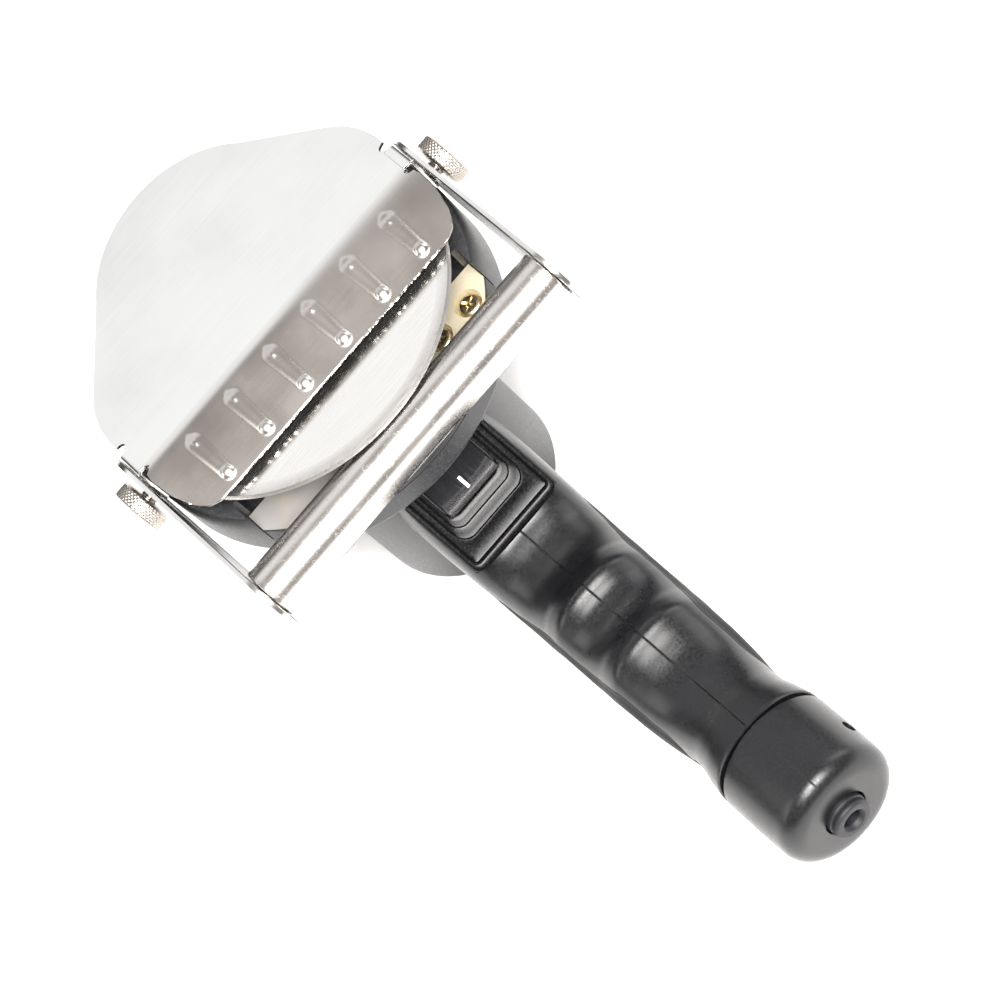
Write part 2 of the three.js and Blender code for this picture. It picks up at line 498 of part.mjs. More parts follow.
add('motor_shaft', motorShaft, LOOK.steel);
add('pinion', pinion, LOOK.steel);
add('armature', armature, LOOK.laminate);
add('commutator', commutator, LOOK.copper);
add('fan', fan, LOOK.nylon);
add('nose_bearing', noseBearing, LOOK.steel);
add('tail_bearing', tailBearing, LOOK.steel);
add('stator', stator, LOOK.laminate);
for (const [side, s] of [['right', 1], ['left', -1]]) {
  add(`field_coil_${side}`, fieldCoil(s), LOOK.copper);
  add(`brush_holder_${side}`, brushHolder(s), LOOK.resin);
  add(`brush_${side}`, brush(s), LOOK.carbon);
}

add('grip_shell_right', halfShell(1), LOOK.shell);
add('grip_shell_left', halfShell(-1), LOOK.shell);
pair('grip_pad', gripPad, LOOK.pad);
SHELL_SCREWS.forEach((spot, i) => add(`shell_screw_${i + 1}`, shellScrew(spot), LOOK.steel));
add('switch_bezel', switchBezel, LOOK.pad);
add('rocker', rocker, LOOK.gloss);
add('switch_body', switchBody, LOOK.resin);
add('control_board', controlBoard, LOOK.board);
add('cord_clamp', cordClamp, LOOK.resin);
add('end_cap', endCap, LOOK.shell);
add('cable_gland', cableGland, LOOK.carbon);

const restFrame = [0, -(PLATE.noseY + PLATE.noseR + GLAND_END_Y) / 2, -BARREL.z0];
const slicer = new THREE.Group();
slicer.name = 'kebab_slicer';
for (const [name, geometry, look] of nodes) {
  const g = weld(geometry).translate(...restFrame);
  g.computeVertexNormals();
  const mesh = new THREE.Mesh(g, look());
  mesh.name = name;
  slicer.add(mesh);
}

export default slicer;
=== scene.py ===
"""Looks for the hand-held kebab slicer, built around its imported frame.

Sizes are millimetres in the blade frame: the blade's top face is z = 0, its
axis passes through the origin, the grip points to -Y and the guard tube runs
along X.  at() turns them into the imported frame's metres.
"""

import math

import bmesh
import bpy
from bpy.props import FloatProperty, FloatVectorProperty, IntProperty, PointerProperty
from mathutils import Matrix, Vector


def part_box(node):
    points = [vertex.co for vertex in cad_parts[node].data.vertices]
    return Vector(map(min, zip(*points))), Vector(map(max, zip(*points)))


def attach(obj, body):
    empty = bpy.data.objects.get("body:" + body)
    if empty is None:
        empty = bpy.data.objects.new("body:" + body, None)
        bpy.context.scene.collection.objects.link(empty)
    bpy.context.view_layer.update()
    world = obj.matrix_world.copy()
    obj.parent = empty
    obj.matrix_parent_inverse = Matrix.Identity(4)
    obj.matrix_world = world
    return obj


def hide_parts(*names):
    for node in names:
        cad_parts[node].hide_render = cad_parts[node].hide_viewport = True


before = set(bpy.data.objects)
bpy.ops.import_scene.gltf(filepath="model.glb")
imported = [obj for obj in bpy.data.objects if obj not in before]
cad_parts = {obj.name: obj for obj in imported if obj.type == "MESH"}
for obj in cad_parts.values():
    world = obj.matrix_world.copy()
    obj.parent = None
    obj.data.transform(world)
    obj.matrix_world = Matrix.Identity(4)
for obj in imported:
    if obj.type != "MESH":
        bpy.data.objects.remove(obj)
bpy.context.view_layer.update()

bl_info = {
    "name": "Kebab slicer looks",
    "version": (1, 0, 0),
    "blender": (4, 5, 0),
    "location": "View3D > Sidebar > Slicer",
    "description": "Builds the detailed pieces and finishes of a hand-held kebab slicer",
    "category": "Object",
}

MM = 0.001
BLADE_LOW, BLADE_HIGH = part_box("blade")
AXIS_Y = (BLADE_LOW.y + BLADE_HIGH.y) / 2 / MM
TOP_Z = BLADE_HIGH.z / MM
SIDES = (("right", 1), ("left", -1))

BLADE_R, BLADE_T, BEVEL = 49.5, 1.5, 3.2
HEAD_R, HEAD_RIM, HEAD_BACK, HEAD_FLOOR, HEAD_BORE = 51.5, -9.3, -33.0, -22.0, 46.5
PAD_X, PAD_Y, PAD_Z = 41.6, -23.3, -17.1
PAD_SCREWS = ((22.9, -31.6), (34, -31.3))
TUBE_R, TUBE_WALL, TUBE_Y, TUBE_Z, TUBE_X = 7.3, 1.5, -49.9, -9.5, 51.7
ARM_IN, ARM_OUT = 52.0, 53.1
ARM_SCREWS = ((-36.4, -24.9), (-42.8, -24.9))
LUG = ((26.0, 51.7), (-46.0, -33.4), (-27.6, -22.1))
KNOB_R, KNOB_IN, KNOB_OUT = 7.0, 54.8, 59.6
THUMB_Y, THUMB_Z = -5.5, -4.5
PLATE_Z, PLATE_T, EDGE_Z, BEND_Y, EDGE_Y = 9.0, 1.0, 3.0, -10.4, -29.4
NOSE_Y, NOSE_R, NOSE_FROM = 19.0, 33.0, 35
ARM_TOP_R, ARM_END_R = 12.2, 12.3
GEAR_CHAMBER_R, PAD_BORE_R, NOSE_BORE_R = 13.2, 23.6, 6.0
MOTOR_Y, BARREL_R, BARREL_BACK, BARREL_FRONT = -15.0, 26.5, -90.0, -33.3
SEAM_Y, GRIP_Z, CAP_R, CAP_END, GLAND_END = -150.5, -69.5, 16.7, -176.5, -179.6
CAP_HOLE_Y, CAP_HOLE_R, CAP_HOLE_ANGLE = -164.4, 1.9, math.radians(17)
POCKET_Y, POCKET_Z, POCKET_X, POCKET_LENGTH = -64.2, -51.9, 15.0, 25.6
ROCKER_S, ROCKER_W, ROCKER_HALF, ROCKER_X = 19.7, -4.2, 5.3, 8.9
ROCKER_TILT, ROCKER_DISH = math.radians(-7), 1.35
SHELL_SCREWS = ((-55, -76), (-82, -76), (-112, -76), (-139, -69.5))
SHELL_GAP = 0.06
SEAM_DIP, SEAM_REACH = 0.12, 0.4

# grip stations: y, half width, front z, rear z
GRIP = (
    (SEAM_Y, CAP_R, -52.8, -86.2), (-146, 15.8, -53.3, -85.7),
    (-142, 14.8, -53.9, -85.2), (-138, 14.4, -54.8, -85.0),
    (-133, 14.8, -55.5, -85.2), (-128.3, 15.4, -55.9, -85.6),
    (-123, 15.9, -55.2, -85.9), (-118, 16.2, -53.6, -86.0),
    (-114, 16.3, -51.9, -86.0), (-111.6, 16.4, -51.0, -86.0),
    (-108, 16.5, -51.9, -86.0), (-104, 16.5, -53.5, -86.0),
    (-99.7, 16.6, -54.2, -86.0), (-95.5, 16.6, -53.4, -86.0),
    (-92.5, 16.6, -52.1, -86.0), (-89.8, 16.6, -51.0, -86.0),
    (-86, 16.7, -52.3, -86.0), (-82, 16.8, -54.4, -86.1),
    (-76.6, 16.8, -55.4, -86.3), (-71, 16.9, -54.5, -86.4),
    (-66.5, 17.0, -52.9, -86.5), (-64.2, 17.0, -51.9, -86.6),
    (-45.6, 17.5, -33.4, -87.6), (-26, 17.6, -33.4, -88.0),
)
# the grip panel's edges: y, front z and y, rear z
PANEL_FRONT = (
    (-136.4, -72.0), (-135.6, -68.0), (-134.2, -65.4), (-132, -63.9), (-129.6, -63.0),
    (-125, -62.3), (-121, -61.2), (-116, -59.4), (-112.2, -58.5), (-108.5, -59.3),
    (-105, -60.6), (-101.4, -61.5), (-98, -61.7), (-94.9, -61.3), (-92, -60.2),
    (-89, -59.5), (-86.4, -59.9), (-82, -61.8), (-76, -63.8), (-70.6, -64.4),
    (-65.5, -63.6), (-63.0, -64.6), (-61.8, -67.0), (-61.2, -72.0),
)
PANEL_REAR = (
    (-136.4, -72.0), (-135.6, -75.0), (-132.5, -78.6), (-128, -80.6),
    (-70, -81.2), (-64.5, -79.4), (-62.2, -76.0), (-61.2, -72.0),
)


# ------------------------------------------------------------ user settings
class SlicerSizes(bpy.types.PropertyGroup):
    """Sizes of the visible detail."""

    rib_height: FloatProperty(
        name="Rib height", description="How far the pressed ribs stand off the guide plate",
        default=1.0 * MM, unit="LENGTH")
    knurl_depth: FloatProperty(
        name="Knurl depth", description="Depth of the diamond knurl on the thumb screws",
        default=0.34 * MM, unit="LENGTH")
    knurl_count: IntProperty(
        name="Knurl count", description="Diamonds round one thumb screw", default=38)
    tube_radius: FloatProperty(
        name="Tube radius", description="Outside radius of the guard tube",
        default=TUBE_R * MM, unit="LENGTH")
    edge_round: FloatProperty(
        name="Edge round", description="Rounding left on the edges of sheet and cast parts",
        default=0.25 * MM, unit="LENGTH")
    panel_ribs: IntProperty(
        name="Panel ribs", description="Ribs across one rubber grip panel", default=15)


class SlicerColours(bpy.types.PropertyGroup):
    """Colours of the main finishes."""

    sheet: FloatVectorProperty(
        name="Sheet", description="Stainless sheet of the guide plate and guard arms",
        default=(0.84, 0.83, 0.815), subtype="COLOR")
    tube: FloatVectorProperty(
        name="Tube", description="Satin drawn tube", default=(0.72, 0.69, 0.665), subtype="COLOR")
    blade: FloatVectorProperty(
        name="Blade", description="Ground blade steel", default=(0.90, 0.875, 0.85), subtype="COLOR")
    casting: FloatVectorProperty(
        name="Casting", description="Black coated gear head", default=(0.017, 0.017, 0.019),
        subtype="COLOR")
    machined: FloatVectorProperty(
        name="Machined face", description="Bare machined mounting pad",
        default=(0.80, 0.72, 0.54), subtype="COLOR")
    shell: FloatVectorProperty(
        name="Shell", description="Textured black moulding of the grip",
        default=(0.0030, 0.0030, 0.0038), subtype="COLOR")
    mark: FloatVectorProperty(
        name="Switch mark", description="Bar on the rocker", default=(0.85, 0.85, 0.84),
        subtype="COLOR")


# ------------------------------------------------------------ shader building
class Wire:
    """A node's output that takes part in sums: each operator adds its Math node."""

    def __init__(self, finish, socket):
        self.finish = finish
        self.socket = socket

    def math(self, operation, *values):
        return self.finish.node("ShaderNodeMath", {"operation": operation}, dict(enumerate(values)))

    def __add__(self, other):
        return self.math("ADD", self, other)

    __radd__ = __add__

    def __sub__(self, other):
        return self.math("SUBTRACT", self, other)

    def __rsub__(self, other):
        return self.math("SUBTRACT", other, self)

    def __mul__(self, other):
        return self.math("MULTIPLY", self, other)

    __rmul__ = __mul__

    def __truediv__(self, other):
        return self.math("DIVIDE", self, other)

    def __rtruediv__(self, other):
        return self.math("DIVIDE", other, self)


class Nodes:
    """A node tree and the one way nodes are added to it."""

    def __init__(self, tree):
        self.tree = tree

    def node(self, kind, settings, inputs, output=0):
        """Adds a node, sets it, fills its sockets and returns one of its outputs."""
        node = self.tree.nodes.new(kind)
        for setting, value in settings.items():
            if setting == "stops":
                self._stops(node.color_ramp, value)
            else:
                setattr(node, setting, value)
        for socket, value in inputs.items():
            self._fill(node.inputs[socket], value)
        return Wire(self, node.outputs[output])

    def _stops(self, ramp, stops):
        while len(ramp.elements) < len(stops):
            ramp.elements.new(0.5)
        for element, (position, colour) in zip(ramp.elements, stops):
            element.position = position
            element.color = colour

    def _fill(self, socket, value):
        if isinstance(value, Wire):
            self.tree.links.new(value.socket, socket)
        else:
            socket.default_value = value


class Finish(Nodes):
    """One material: a Principled shader and the nodes that feed it."""

    def __init__(self, name, colour, roughness, metallic=0.0, **constants):
        self.material = bpy.data.materials.new(name)
        self.material.use_nodes = True
        super().__init__(self.material.node_tree)
        self.shader = self.tree.nodes["Principled BSDF"]
        self.feed("Base Color", (*colour, 1.0))
        self.feed("Roughness", roughness)
        self.feed("Metallic", metallic)
        for socket, value in constants.items():
            self.feed(socket.replace("_", " ").title().replace("Ior", "IOR"), value)
        self.material.diffuse_color = (*colour, 1.0)

    def feed(self, socket, value):
        self._fill(self.shader.inputs[socket], value)

    def place(self, *stretch):
        """The point on the object in metres, stretched along each axis."""
        point = self.node("ShaderNodeTexCoord", {}, {}, "Object")
        return self.node("ShaderNodeVectorMath", {"operation": "MULTIPLY"}, {0: point, 1: stretch})

    def noise(self, scale, detail=2.0, stretch=(1, 1, 1)):
        return self.node("ShaderNodeTexNoise", {}, {
            "Vector": self.place(*stretch), "Scale": scale, "Detail": detail})

    def cells(self, scale):
        return self.node("ShaderNodeTexVoronoi", {}, {"Vector": self.place(1, 1, 1), "Scale": scale})

    def between(self, value, low, high, out_low=0.0, out_high=1.0):
        """value carried from low..high to out_low..out_high, and held there."""
        return self.node("ShaderNodeMapRange", {}, {
            "Value": value, "From Min": low, "From Max": high,
            "To Min": out_low, "To Max": out_high})

    def blend(self, mask, first, second):
        """The colour first where mask is 0 and second where it is 1."""
        first, second = [c if isinstance(c, Wire) else (*c[:3], 1.0) for c in (first, second)]
        return self.node("ShaderNodeMix", {"data_type": "RGBA"}, {0: mask, 6: first, 7: second}, 2)

    def parts(self, centre=(0.0, 0.0)):
        """x, y and z in millimetres of the blade frame, measured from a centre in x and y."""
        point = self.node("ShaderNodeTexCoord", {}, {}, "Object")
        split = [self.node("ShaderNodeSeparateXYZ", {}, {0: point}, axis) for axis in range(3)]
        return (split[0] / MM - centre[0], split[1] / MM - (AXIS_Y + centre[1]), split[2] / MM - TOP_Z)

    def radius(self, centre=(0.0, 0.0)):
        """Distance in millimetres from an upright axis."""
        x, y, _ = self.parts(centre)
        square = x * x + y * y
        return square.math("SQRT", square)

    def wave(self, phase):
        """A sine carried to 0..1."""
        return phase.math("SINE", phase) * 0.5 + 0.5

    def upward(self):
        """How far the surface faces up: 1 on top, -1 underneath."""
        facing = self.node("ShaderNodeTexCoord", {}, {}, "Normal")
        return self.node("ShaderNodeSeparateXYZ", {}, {0: facing}, 2)

    def bump(self, height, strength, distance):
        """height in 0..1 stands for distance millimetres of relief."""
        self.feed("Normal", self.node("ShaderNodeBump", {}, {
            "Height": height, "Strength": strength, "Distance": distance * MM}))


def colours():
    return bpy.context.scene.slicer_colours


def sizes():
    return bpy.context.scene.slicer_sizes


def sheet_finish(name, brushed_shaded_below, underside_shade_amount):
    """Stainless sheet: polished, brushed along X in front of the given y, where its colour is also darkened
    as painted shade; painted shade darkens it underneath.
    """
    steel = tuple(colours().sheet)
    f = Finish(name, steel, 0.2, 1.0)
    brush = f.noise(1.0, 3.0, (45, 3800, 3800))
    fine = f.noise(1.0, 2.0, (120, 9000, 9000))
    smudge = f.noise(38, 4.0)
    spots = f.between(f.cells(420), 0.0, 0.10, 1.0, 0.0)
    _, y, _ = f.parts()
    # Brushed strip in front of the bend; its colour is also darkened there towards (0.56, 0.525, 0.495) as
    # painted shade.
    ribbed = f.between(y, brushed_shaded_below + 2.5, brushed_shaded_below - 1.5)
    tone = f.blend(ribbed * 0.9, steel, (0.56, 0.525, 0.495))
    tone = f.blend(f.between(brush, 0.35, 0.65) * (ribbed * 0.22 + 0.05), tone, (0.50, 0.47, 0.44))
    tone = f.blend(f.between(smudge, 0.45, 0.75, 0.0, 0.10), tone, (0.62, 0.60, 0.58))
    # Painted shade: faces that point down are darkened towards near-black.
    underside_shade = f.between(f.upward(), -0.2, -0.5)
    f.feed("Base Color", f.blend(underside_shade * underside_shade_amount, tone, (0.05, 0.05, 0.05)))
    f.feed("Roughness", ribbed * 0.07 + f.between(smudge, 0.3, 0.7, 0.13, 0.22) + brush * 0.05)
    f.bump(brush * (ribbed * 0.6 + 0.15) + fine * 0.25 + spots * 0.2, 0.05, 0.02)
    return f.material


def blade_finish():
    """Ground disc: straight grind on the face, rings on the bevel."""
    steel = tuple(colours().blade)
    f = Finish("ground_blade", steel, 0.24, 1.0)
    r = f.radius()
    grind = f.noise(1.0, 3.0, (60, 4200, 4200))
    rings = f.node("ShaderNodeTexNoise", {"noise_dimensions": "1D"}, {
        "W": r * 6.5, "Detail": 3.0, "Scale": 1.0})
    bevel = f.between(r, BLADE_R - BEVEL - 0.15, BLADE_R - BEVEL + 0.15)
    tone = f.blend(bevel * 0.3, steel, (0.78, 0.765, 0.76))
    tone = f.blend(f.between(grind, 0.38, 0.62) * 0.16, tone, (0.55, 0.53, 0.52))
    edge = f.between(r, BLADE_R - 0.45, BLADE_R - 0.1)
    f.feed("Base Color", f.blend(edge, tone, (0.93, 0.93, 0.94)))
    f.feed("Roughness", f.between(grind, 0.3, 0.7, 0.20, 0.30) + bevel * 0.06)
    f.bump(f.blend(bevel, grind, rings), 0.12, 0.015)
    return f.material


def tube_finish():
    """Satin drawn tube: draw lines along X and a fine pitted grain."""
    base = tuple(colours().tube)
    f = Finish("satin_tube", base, 0.3, 1.0)
    draw = f.noise(1.0, 3.0, (22, 2600, 2600))
    pits = f.between(f.noise(1500, 2.0), 0.60, 0.72)
    specks = f.between(f.cells(900), 0.0, 0.16, 1.0, 0.0)
    wear = f.noise(70, 4.0)
    tone = f.blend(f.between(draw, 0.35, 0.65) * 0.25, base, (0.54, 0.50, 0.47))
    tone = f.blend(pits * 0.45, tone, (0.40, 0.37, 0.34))
    f.feed("Base Color", f.blend(specks * f.between(wear, 0.5, 0.6) * 0.6, tone, (0.92, 0.91, 0.9)))
    f.feed("Roughness", f.between(wear, 0.3, 0.7, 0.23, 0.30) + pits * 0.15)
    f.bump(draw * 0.5 + (1 - pits) * 0.5, 0.05, 0.02)
    return f.material


def nickel_finish():
    """Nickel plate with dull tarnished patches here and there."""
    f = Finish("nickel_plate", (0.72, 0.68, 0.64), 0.28, 1.0)
    tarnish = f.noise(260, 4.0)
    grain = f.noise(2600, 2.0)
    dull = f.between(tarnish, 0.4, 0.7) * 0.5
    f.feed("Base Color", f.blend(dull, (0.46, 0.43, 0.40), (0.32, 0.28, 0.24)))
    f.feed("Roughness", f.between(tarnish, 0.3, 0.7, 0.22, 0.38))
    f.bump(grain, 0.12, 0.02)
    return f.material


def casting_finish():
    """Black coated casting: grainy skin, rubbed through in specks."""
    base = tuple(colours().casting)
    f = Finish("coated_casting", base, 0.5, 0.15)
    skin = f.noise(1900, 4.0)
    pores = f.between(f.noise(3600, 2.0), 0.60, 0.70)
    patch = f.noise(60, 3.0)
    tone = f.blend(f.between(skin, 0.35, 0.7), base, tuple(2.1 * c for c in base))
    rubbed = pores * f.between(patch, 0.40, 0.60, 0.15, 0.6)
    f.feed("Base Color", f.blend(rubbed, tone, (0.26, 0.26, 0.26)))
    f.feed("Metallic", rubbed * 0.8)
    f.feed("Roughness", f.between(skin, 0.3, 0.7, 0.34, 0.56))
    f.bump(skin * 0.7 + pores * 0.3, 0.4, 0.03)
    return f.material


def machined_finish():
    """Bare machined alloy: cutter arcs across the face; painted shade makes it greyer and darker towards
    -X.
    """
    base = tuple(colours().machined)
    f = Finish("machined_face", base, 0.45)
    near, far = f.radius((34.0, -31.3)), f.radius((-60.0, -20.0))
    x, _, _ = f.parts()
    arcs, sweep = f.wave(near * 5.2), f.wave(far * 7.5)
    spotface = f.between(near, 9.0, 12.0, 1.0, 0.0)
    stain = f.noise(120, 4.0)
    # Painted shade: the face turns greyer and darker towards -X.
    shaded_side = f.between(x, 6.0, -10.0)
    tone = f.blend(shaded_side, base, (0.42, 0.405, 0.40))
    tone = f.blend(f.between(stain, 0.45, 0.7) * 0.25, tone, (0.66, 0.55, 0.33))
    cuts = f.blend(spotface, sweep, arcs)
    coated = f.between(f.radius(), HEAD_R - 0.6, HEAD_R - 0.4)
    tone = f.blend(cuts * 0.10, tone, (0.45, 0.40, 0.30))
    f.feed("Base Color", f.blend(coated, tone, (0.03, 0.03, 0.032)))
    f.feed("Metallic", f.between(coated, 0.0, 1.0, 0.45, 0.0))
    f.feed("Roughness", f.between(stain, 0.3, 0.7, 0.40, 0.54))
    f.bump(cuts, 0.10, 0.02)
    return f.material


def yellow_finish():
    """Yellow passivated screws."""
    f = Finish("yellow_passivate", (0.78, 0.62, 0.34), 0.26, 1.0)
    tint = f.noise(520, 3.0)
    f.feed("Base Color", f.blend(f.between(tint, 0.35, 0.65), (0.86, 0.76, 0.52), (0.68, 0.57, 0.38)))
    f.feed("Roughness", f.between(tint, 0.3, 0.7, 0.20, 0.34))
    f.bump(f.noise(3000, 2.0), 0.1, 0.02)
    return f.material


def moulding_finish(name, roughness, grain_depth, lift=1.0, shine=0.5):
    """Spark-eroded black moulding: fine grain, slight rub marks."""
    # lift scales the base colour; below 1 it is painted shade.
    base = tuple(lift * c for c in colours().shell)
    f = Finish(name, base, roughness, 0.0, specular_ior_level=shine)
    grain = f.noise(1500, 3.0)
    coarse = f.noise(700, 2.0)
    rub = f.noise(48, 4.0)
    dust = f.between(f.cells(260), 0.0, 0.045, 1.0, 0.0)
    tone = f.blend(f.between(grain, 0.35, 0.7), base, tuple(2.0 * c for c in base))
    tone = f.blend(f.between(rub, 0.5, 0.8) * 0.35, tone, tuple(2.6 * c for c in base))
    f.feed("Base Color", f.blend(dust * 0.12, tone, (0.20, 0.19, 0.18)))
    f.feed("Roughness", f.between(grain, 0.3, 0.7, roughness - 0.05, roughness + 0.07)
           - f.between(rub, 0.5, 0.8, 0.0, 0.05))
    f.bump(grain * 0.65 + coarse * 0.35, 0.5, grain_depth)
    return f.material


def rubber_finish(name, base):
    """Soft black rubber with a powdery bloom."""
    f = Finish(name, base, 0.6, 0.0)
    bloom = f.noise(90, 4.0)
    grain = f.noise(2300, 2.0)
    f.feed("Base Color", f.blend(f.between(bloom, 0.4, 0.75) * 0.6, base, tuple(2.4 * c for c in base)))
    f.feed("Roughness", f.between(bloom, 0.3, 0.7, 0.50, 0.66))
    f.bump(grain, 0.4, 0.03)
    return f.material


def gloss_finish():
    """Gloss black switch cap with fine rub lines."""
    f = Finish("gloss_black", (0.008, 0.008, 0.010), 0.12, 0.0, coat_weight=0.4, coat_roughness=0.06)
    rub = f.noise(1.0, 3.0, (2400, 90, 90))
    f.feed("Base Color", f.blend(f.between(rub, 0.5, 0.8) * 0.4,
                                 (0.008, 0.008, 0.010), (0.03, 0.03, 0.03)))
    f.feed("Roughness", f.between(rub, 0.3, 0.7, 0.08, 0.2))
    f.bump(rub, 0.05, 0.01)
    return f.material


def mark_finish():
    """White ink of the switch mark."""
    base = tuple(colours().mark)
    f = Finish("white_ink", base, 0.45)
    worn = f.noise(1400, 3.0)
    f.feed("Base Color", f.blend(f.between(worn, 0.55, 0.75) * 0.3, base, (0.5, 0.5, 0.5)))
    f.feed("Roughness", f.between(worn, 0.3, 0.7, 0.4, 0.55))
    f.bump(worn, 0.1, 0.01)
    return f.material


def metal_finish(name, light, dark, roughness, stretch=(1, 1, 1), scale=500):
    """Plain turned or stamped metal in two tones."""
    f = Finish(name, light, roughness, 1.0)
    tint = f.noise(scale, 4.0, stretch)
    f.feed("Base Color", f.blend(f.between(tint, 0.35, 0.65), light, dark))
    f.feed("Roughness", f.between(tint, 0.3, 0.7, roughness - 0.06, roughness + 0.1))
    f.bump(tint, 0.15, 0.02)
    return f.material


def inner_finish(name, light, dark, roughness, scale, stretch=(1, 1, 1)):
    """Matt moulded, pressed or wound parts that sit inside the shells."""
    f = Finish(name, light, roughness)
    tint = f.noise(scale, 3.0, stretch)
    f.feed("Base Color", f.blend(f.between(tint, 0.35, 0.65), light, dark))
    f.feed("Roughness", f.between(tint, 0.3, 0.7, roughness - 0.08, roughness + 0.08))
    f.bump(tint, 0.3, 0.04)
    return f.material


MAKERS = {
    # The guide plate: painted shade on the bent strip and, at 0.9, on the underside.
    "sheet": lambda: sheet_finish("polished_sheet", BEND_Y, 0.9),
    "arm": lambda: sheet_finish("arm_sheet", -70.0, 0.0),
    "blade": blade_finish,
    "tube": tube_finish,
    "nickel": nickel_finish,
    "casting": casting_finish,
    "machined": machined_finish,
    "yellow": yellow_finish,
    "shell": lambda: moulding_finish("textured_shell", 0.33, 0.05),
    # The bezel's colour is the shell's at 0.6: painted shade in the switch recess.
    "bezel": lambda: moulding_finish("moulded_bezel", 0.24, 0.01, 0.6, 0.22),
    "panel": lambda: rubber_finish("panel_rubber", (0.0035, 0.0035, 0.0042)),
    "soft": lambda: rubber_finish("gland_rubber", (0.006, 0.006, 0.0085)),
    "gloss": gloss_finish,
    "mark": mark_finish,
    "steel": lambda: metal_finish("plain_steel", (0.66, 0.66, 0.67), (0.50, 0.49, 0.48), 0.32),
    "brass": lambda: metal_finish("gear_brass", (0.78, 0.60, 0.28), (0.62, 0.46, 0.20), 0.32),
    "copper": lambda: metal_finish("bare_copper", (0.72, 0.38, 0.22), (0.52, 0.26, 0.15), 0.36),
    "laminations": lambda: metal_finish(
        "stacked_laminations", (0.40, 0.41, 0.43), (0.16, 0.16, 0.18), 0.45, (1, 1, 60), 40),
    "winding": lambda: inner_finish(
        "enamelled_winding", (0.55, 0.22, 0.10), (0.30, 0.10, 0.05), 0.35, 1.0, (40, 900, 900)),
    "nylon": lambda: inner_finish("natural_nylon", (0.76, 0.73, 0.64), (0.66, 0.62, 0.53), 0.5, 300),
    "resin": lambda: inner_finish("brown_resin", (0.10, 0.06, 0.04), (0.06, 0.035, 0.025), 0.55, 500),
    "board": lambda: inner_finish("board_green", (0.05, 0.20, 0.09), (0.03, 0.13, 0.06), 0.4, 250),
    "carbon": lambda: inner_finish("brush_carbon", (0.03, 0.03, 0.03), (0.06, 0.06, 0.06), 0.7, 900),
}
FINISHES = {}


def finish(name):
    if name not in FINISHES:
        FINISHES[name] = MAKERS[name]()
    return FINISHES[name]


# ------------------------------------------------------------ shape building
def at(x, y, z):
    """A blade-frame point in millimetres, as a packed-frame point in metres."""
    return Vector((x, y + AXIS_Y, z + TOP_Z)) * MM


def solid(name, points, faces):
    """A closed mesh object from blade-frame points, welded and facing outwards."""
    mesh = bpy.data.meshes.new(name)
    mesh.from_pydata([at(*p) for p in points], [], faces)
    work = bmesh.new()
    work.from_mesh(mesh)
    bmesh.ops.remove_doubles(work, verts=work.verts, dist=2e-6)
    bmesh.ops.recalc_face_normals(work, faces=work.faces)
    work.to_mesh(mesh)
    work.free()
    obj = bpy.data.objects.new(name, mesh)
    bpy.context.scene.collection.objects.link(obj)
    return obj


def modify(obj, kind, **settings):
    modifier = obj.modifiers.new(kind.lower(), kind)
    for setting, value in settings.items():
        setattr(modifier, setting, value)


def settle(obj):
    """Leaves the modified shape as the object's own mesh."""
    graph = bpy.context.evaluated_depsgraph_get()
    mesh = bpy.data.meshes.new_from_object(obj.evaluated_get(graph))
    obj.modifiers.clear()
    obj.data = mesh
    return obj


def carve(obj, *tools, operation="DIFFERENCE"):
    """Takes tools away from obj, or adds them to it."""
    for tool in tools:
        modify(obj, "BOOLEAN", operation=operation, object=tool, solver="EXACT")
    settle(obj)
    for tool in tools:
        bpy.data.objects.remove(tool)
    return obj


def soften(obj, width, angle=40, segments=2):
    """Rounds the edges sharper than angle."""
    modify(obj, "BEVEL", width=width * MM, segments=segments, limit_method="ANGLE",
           angle_limit=math.radians(angle), use_clamp_overlap=True)
    return settle(obj)


def present(obj, body, node, look, smooth=35, covers=True):
    """Shades, paints and hangs a piece on its body; when it covers, its CAD node is hidden so the piece
    takes its place.
    """
    mesh = obj.data
    mesh.shade_smooth()
    mesh.set_sharp_from_angle(angle=math.radians(smooth))
    mesh.materials.clear()
    mesh.materials.append(finish(look))
    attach(obj, body)
    if covers:
        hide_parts(node)


def dress(look, *nodes):
    """Gives carried-over CAD nodes a finish."""
    for node in nodes:
        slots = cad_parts[node].material_slots
        for slot in slots:
            slot.material = finish(look)


def skin(rows, closed=False, capped=False):
    """Faces over rows of equally many points; closed joins each row's ends."""
    count = len(rows[0])
    points = [p for row in rows for p in row]
    faces = []
    for r in range(len(rows) - 1):
        for c in range(count if closed else count - 1):
            n = (c + 1) % count
            faces.append((r * count + c, r * count + n, (r + 1) * count + n, (r + 1) * count + c))
    if capped:
        faces.append(tuple(reversed(range(count))))
        faces.append(tuple(range((len(rows) - 1) * count, len(rows) * count)))
    return points, faces


def rounded(corners, steps=5, closed=False):
    """A line through (a, b) or (a, b, radius) corners, each radius made an arc."""
    count = len(corners)
    line = []
    for i, corner in enumerate(corners):
        here = Vector(corner[:2])
        radius = corner[2] if len(corner) > 2 else 0.0
        if radius == 0.0 or (not closed and i in (0, count - 1)):
            line.append(tuple(here))
            continue
        back = (Vector(corners[i - 1][:2]) - here).normalized()
        ahead = (Vector(corners[(i + 1) % count][:2]) - here).normalized()
        half = back.angle(ahead) / 2
        centre = here + (back + ahead).normalized() * radius / math.sin(half)
        first = here + back * radius / math.tan(half) - centre
        last = here + ahead * radius / math.tan(half) - centre
        turn = first.angle_signed(last)
        for s in range(steps + 1):
            a = -turn * s / steps
            line.append(tuple(centre + Matrix.Rotation(a, 2) @ first))
    return line


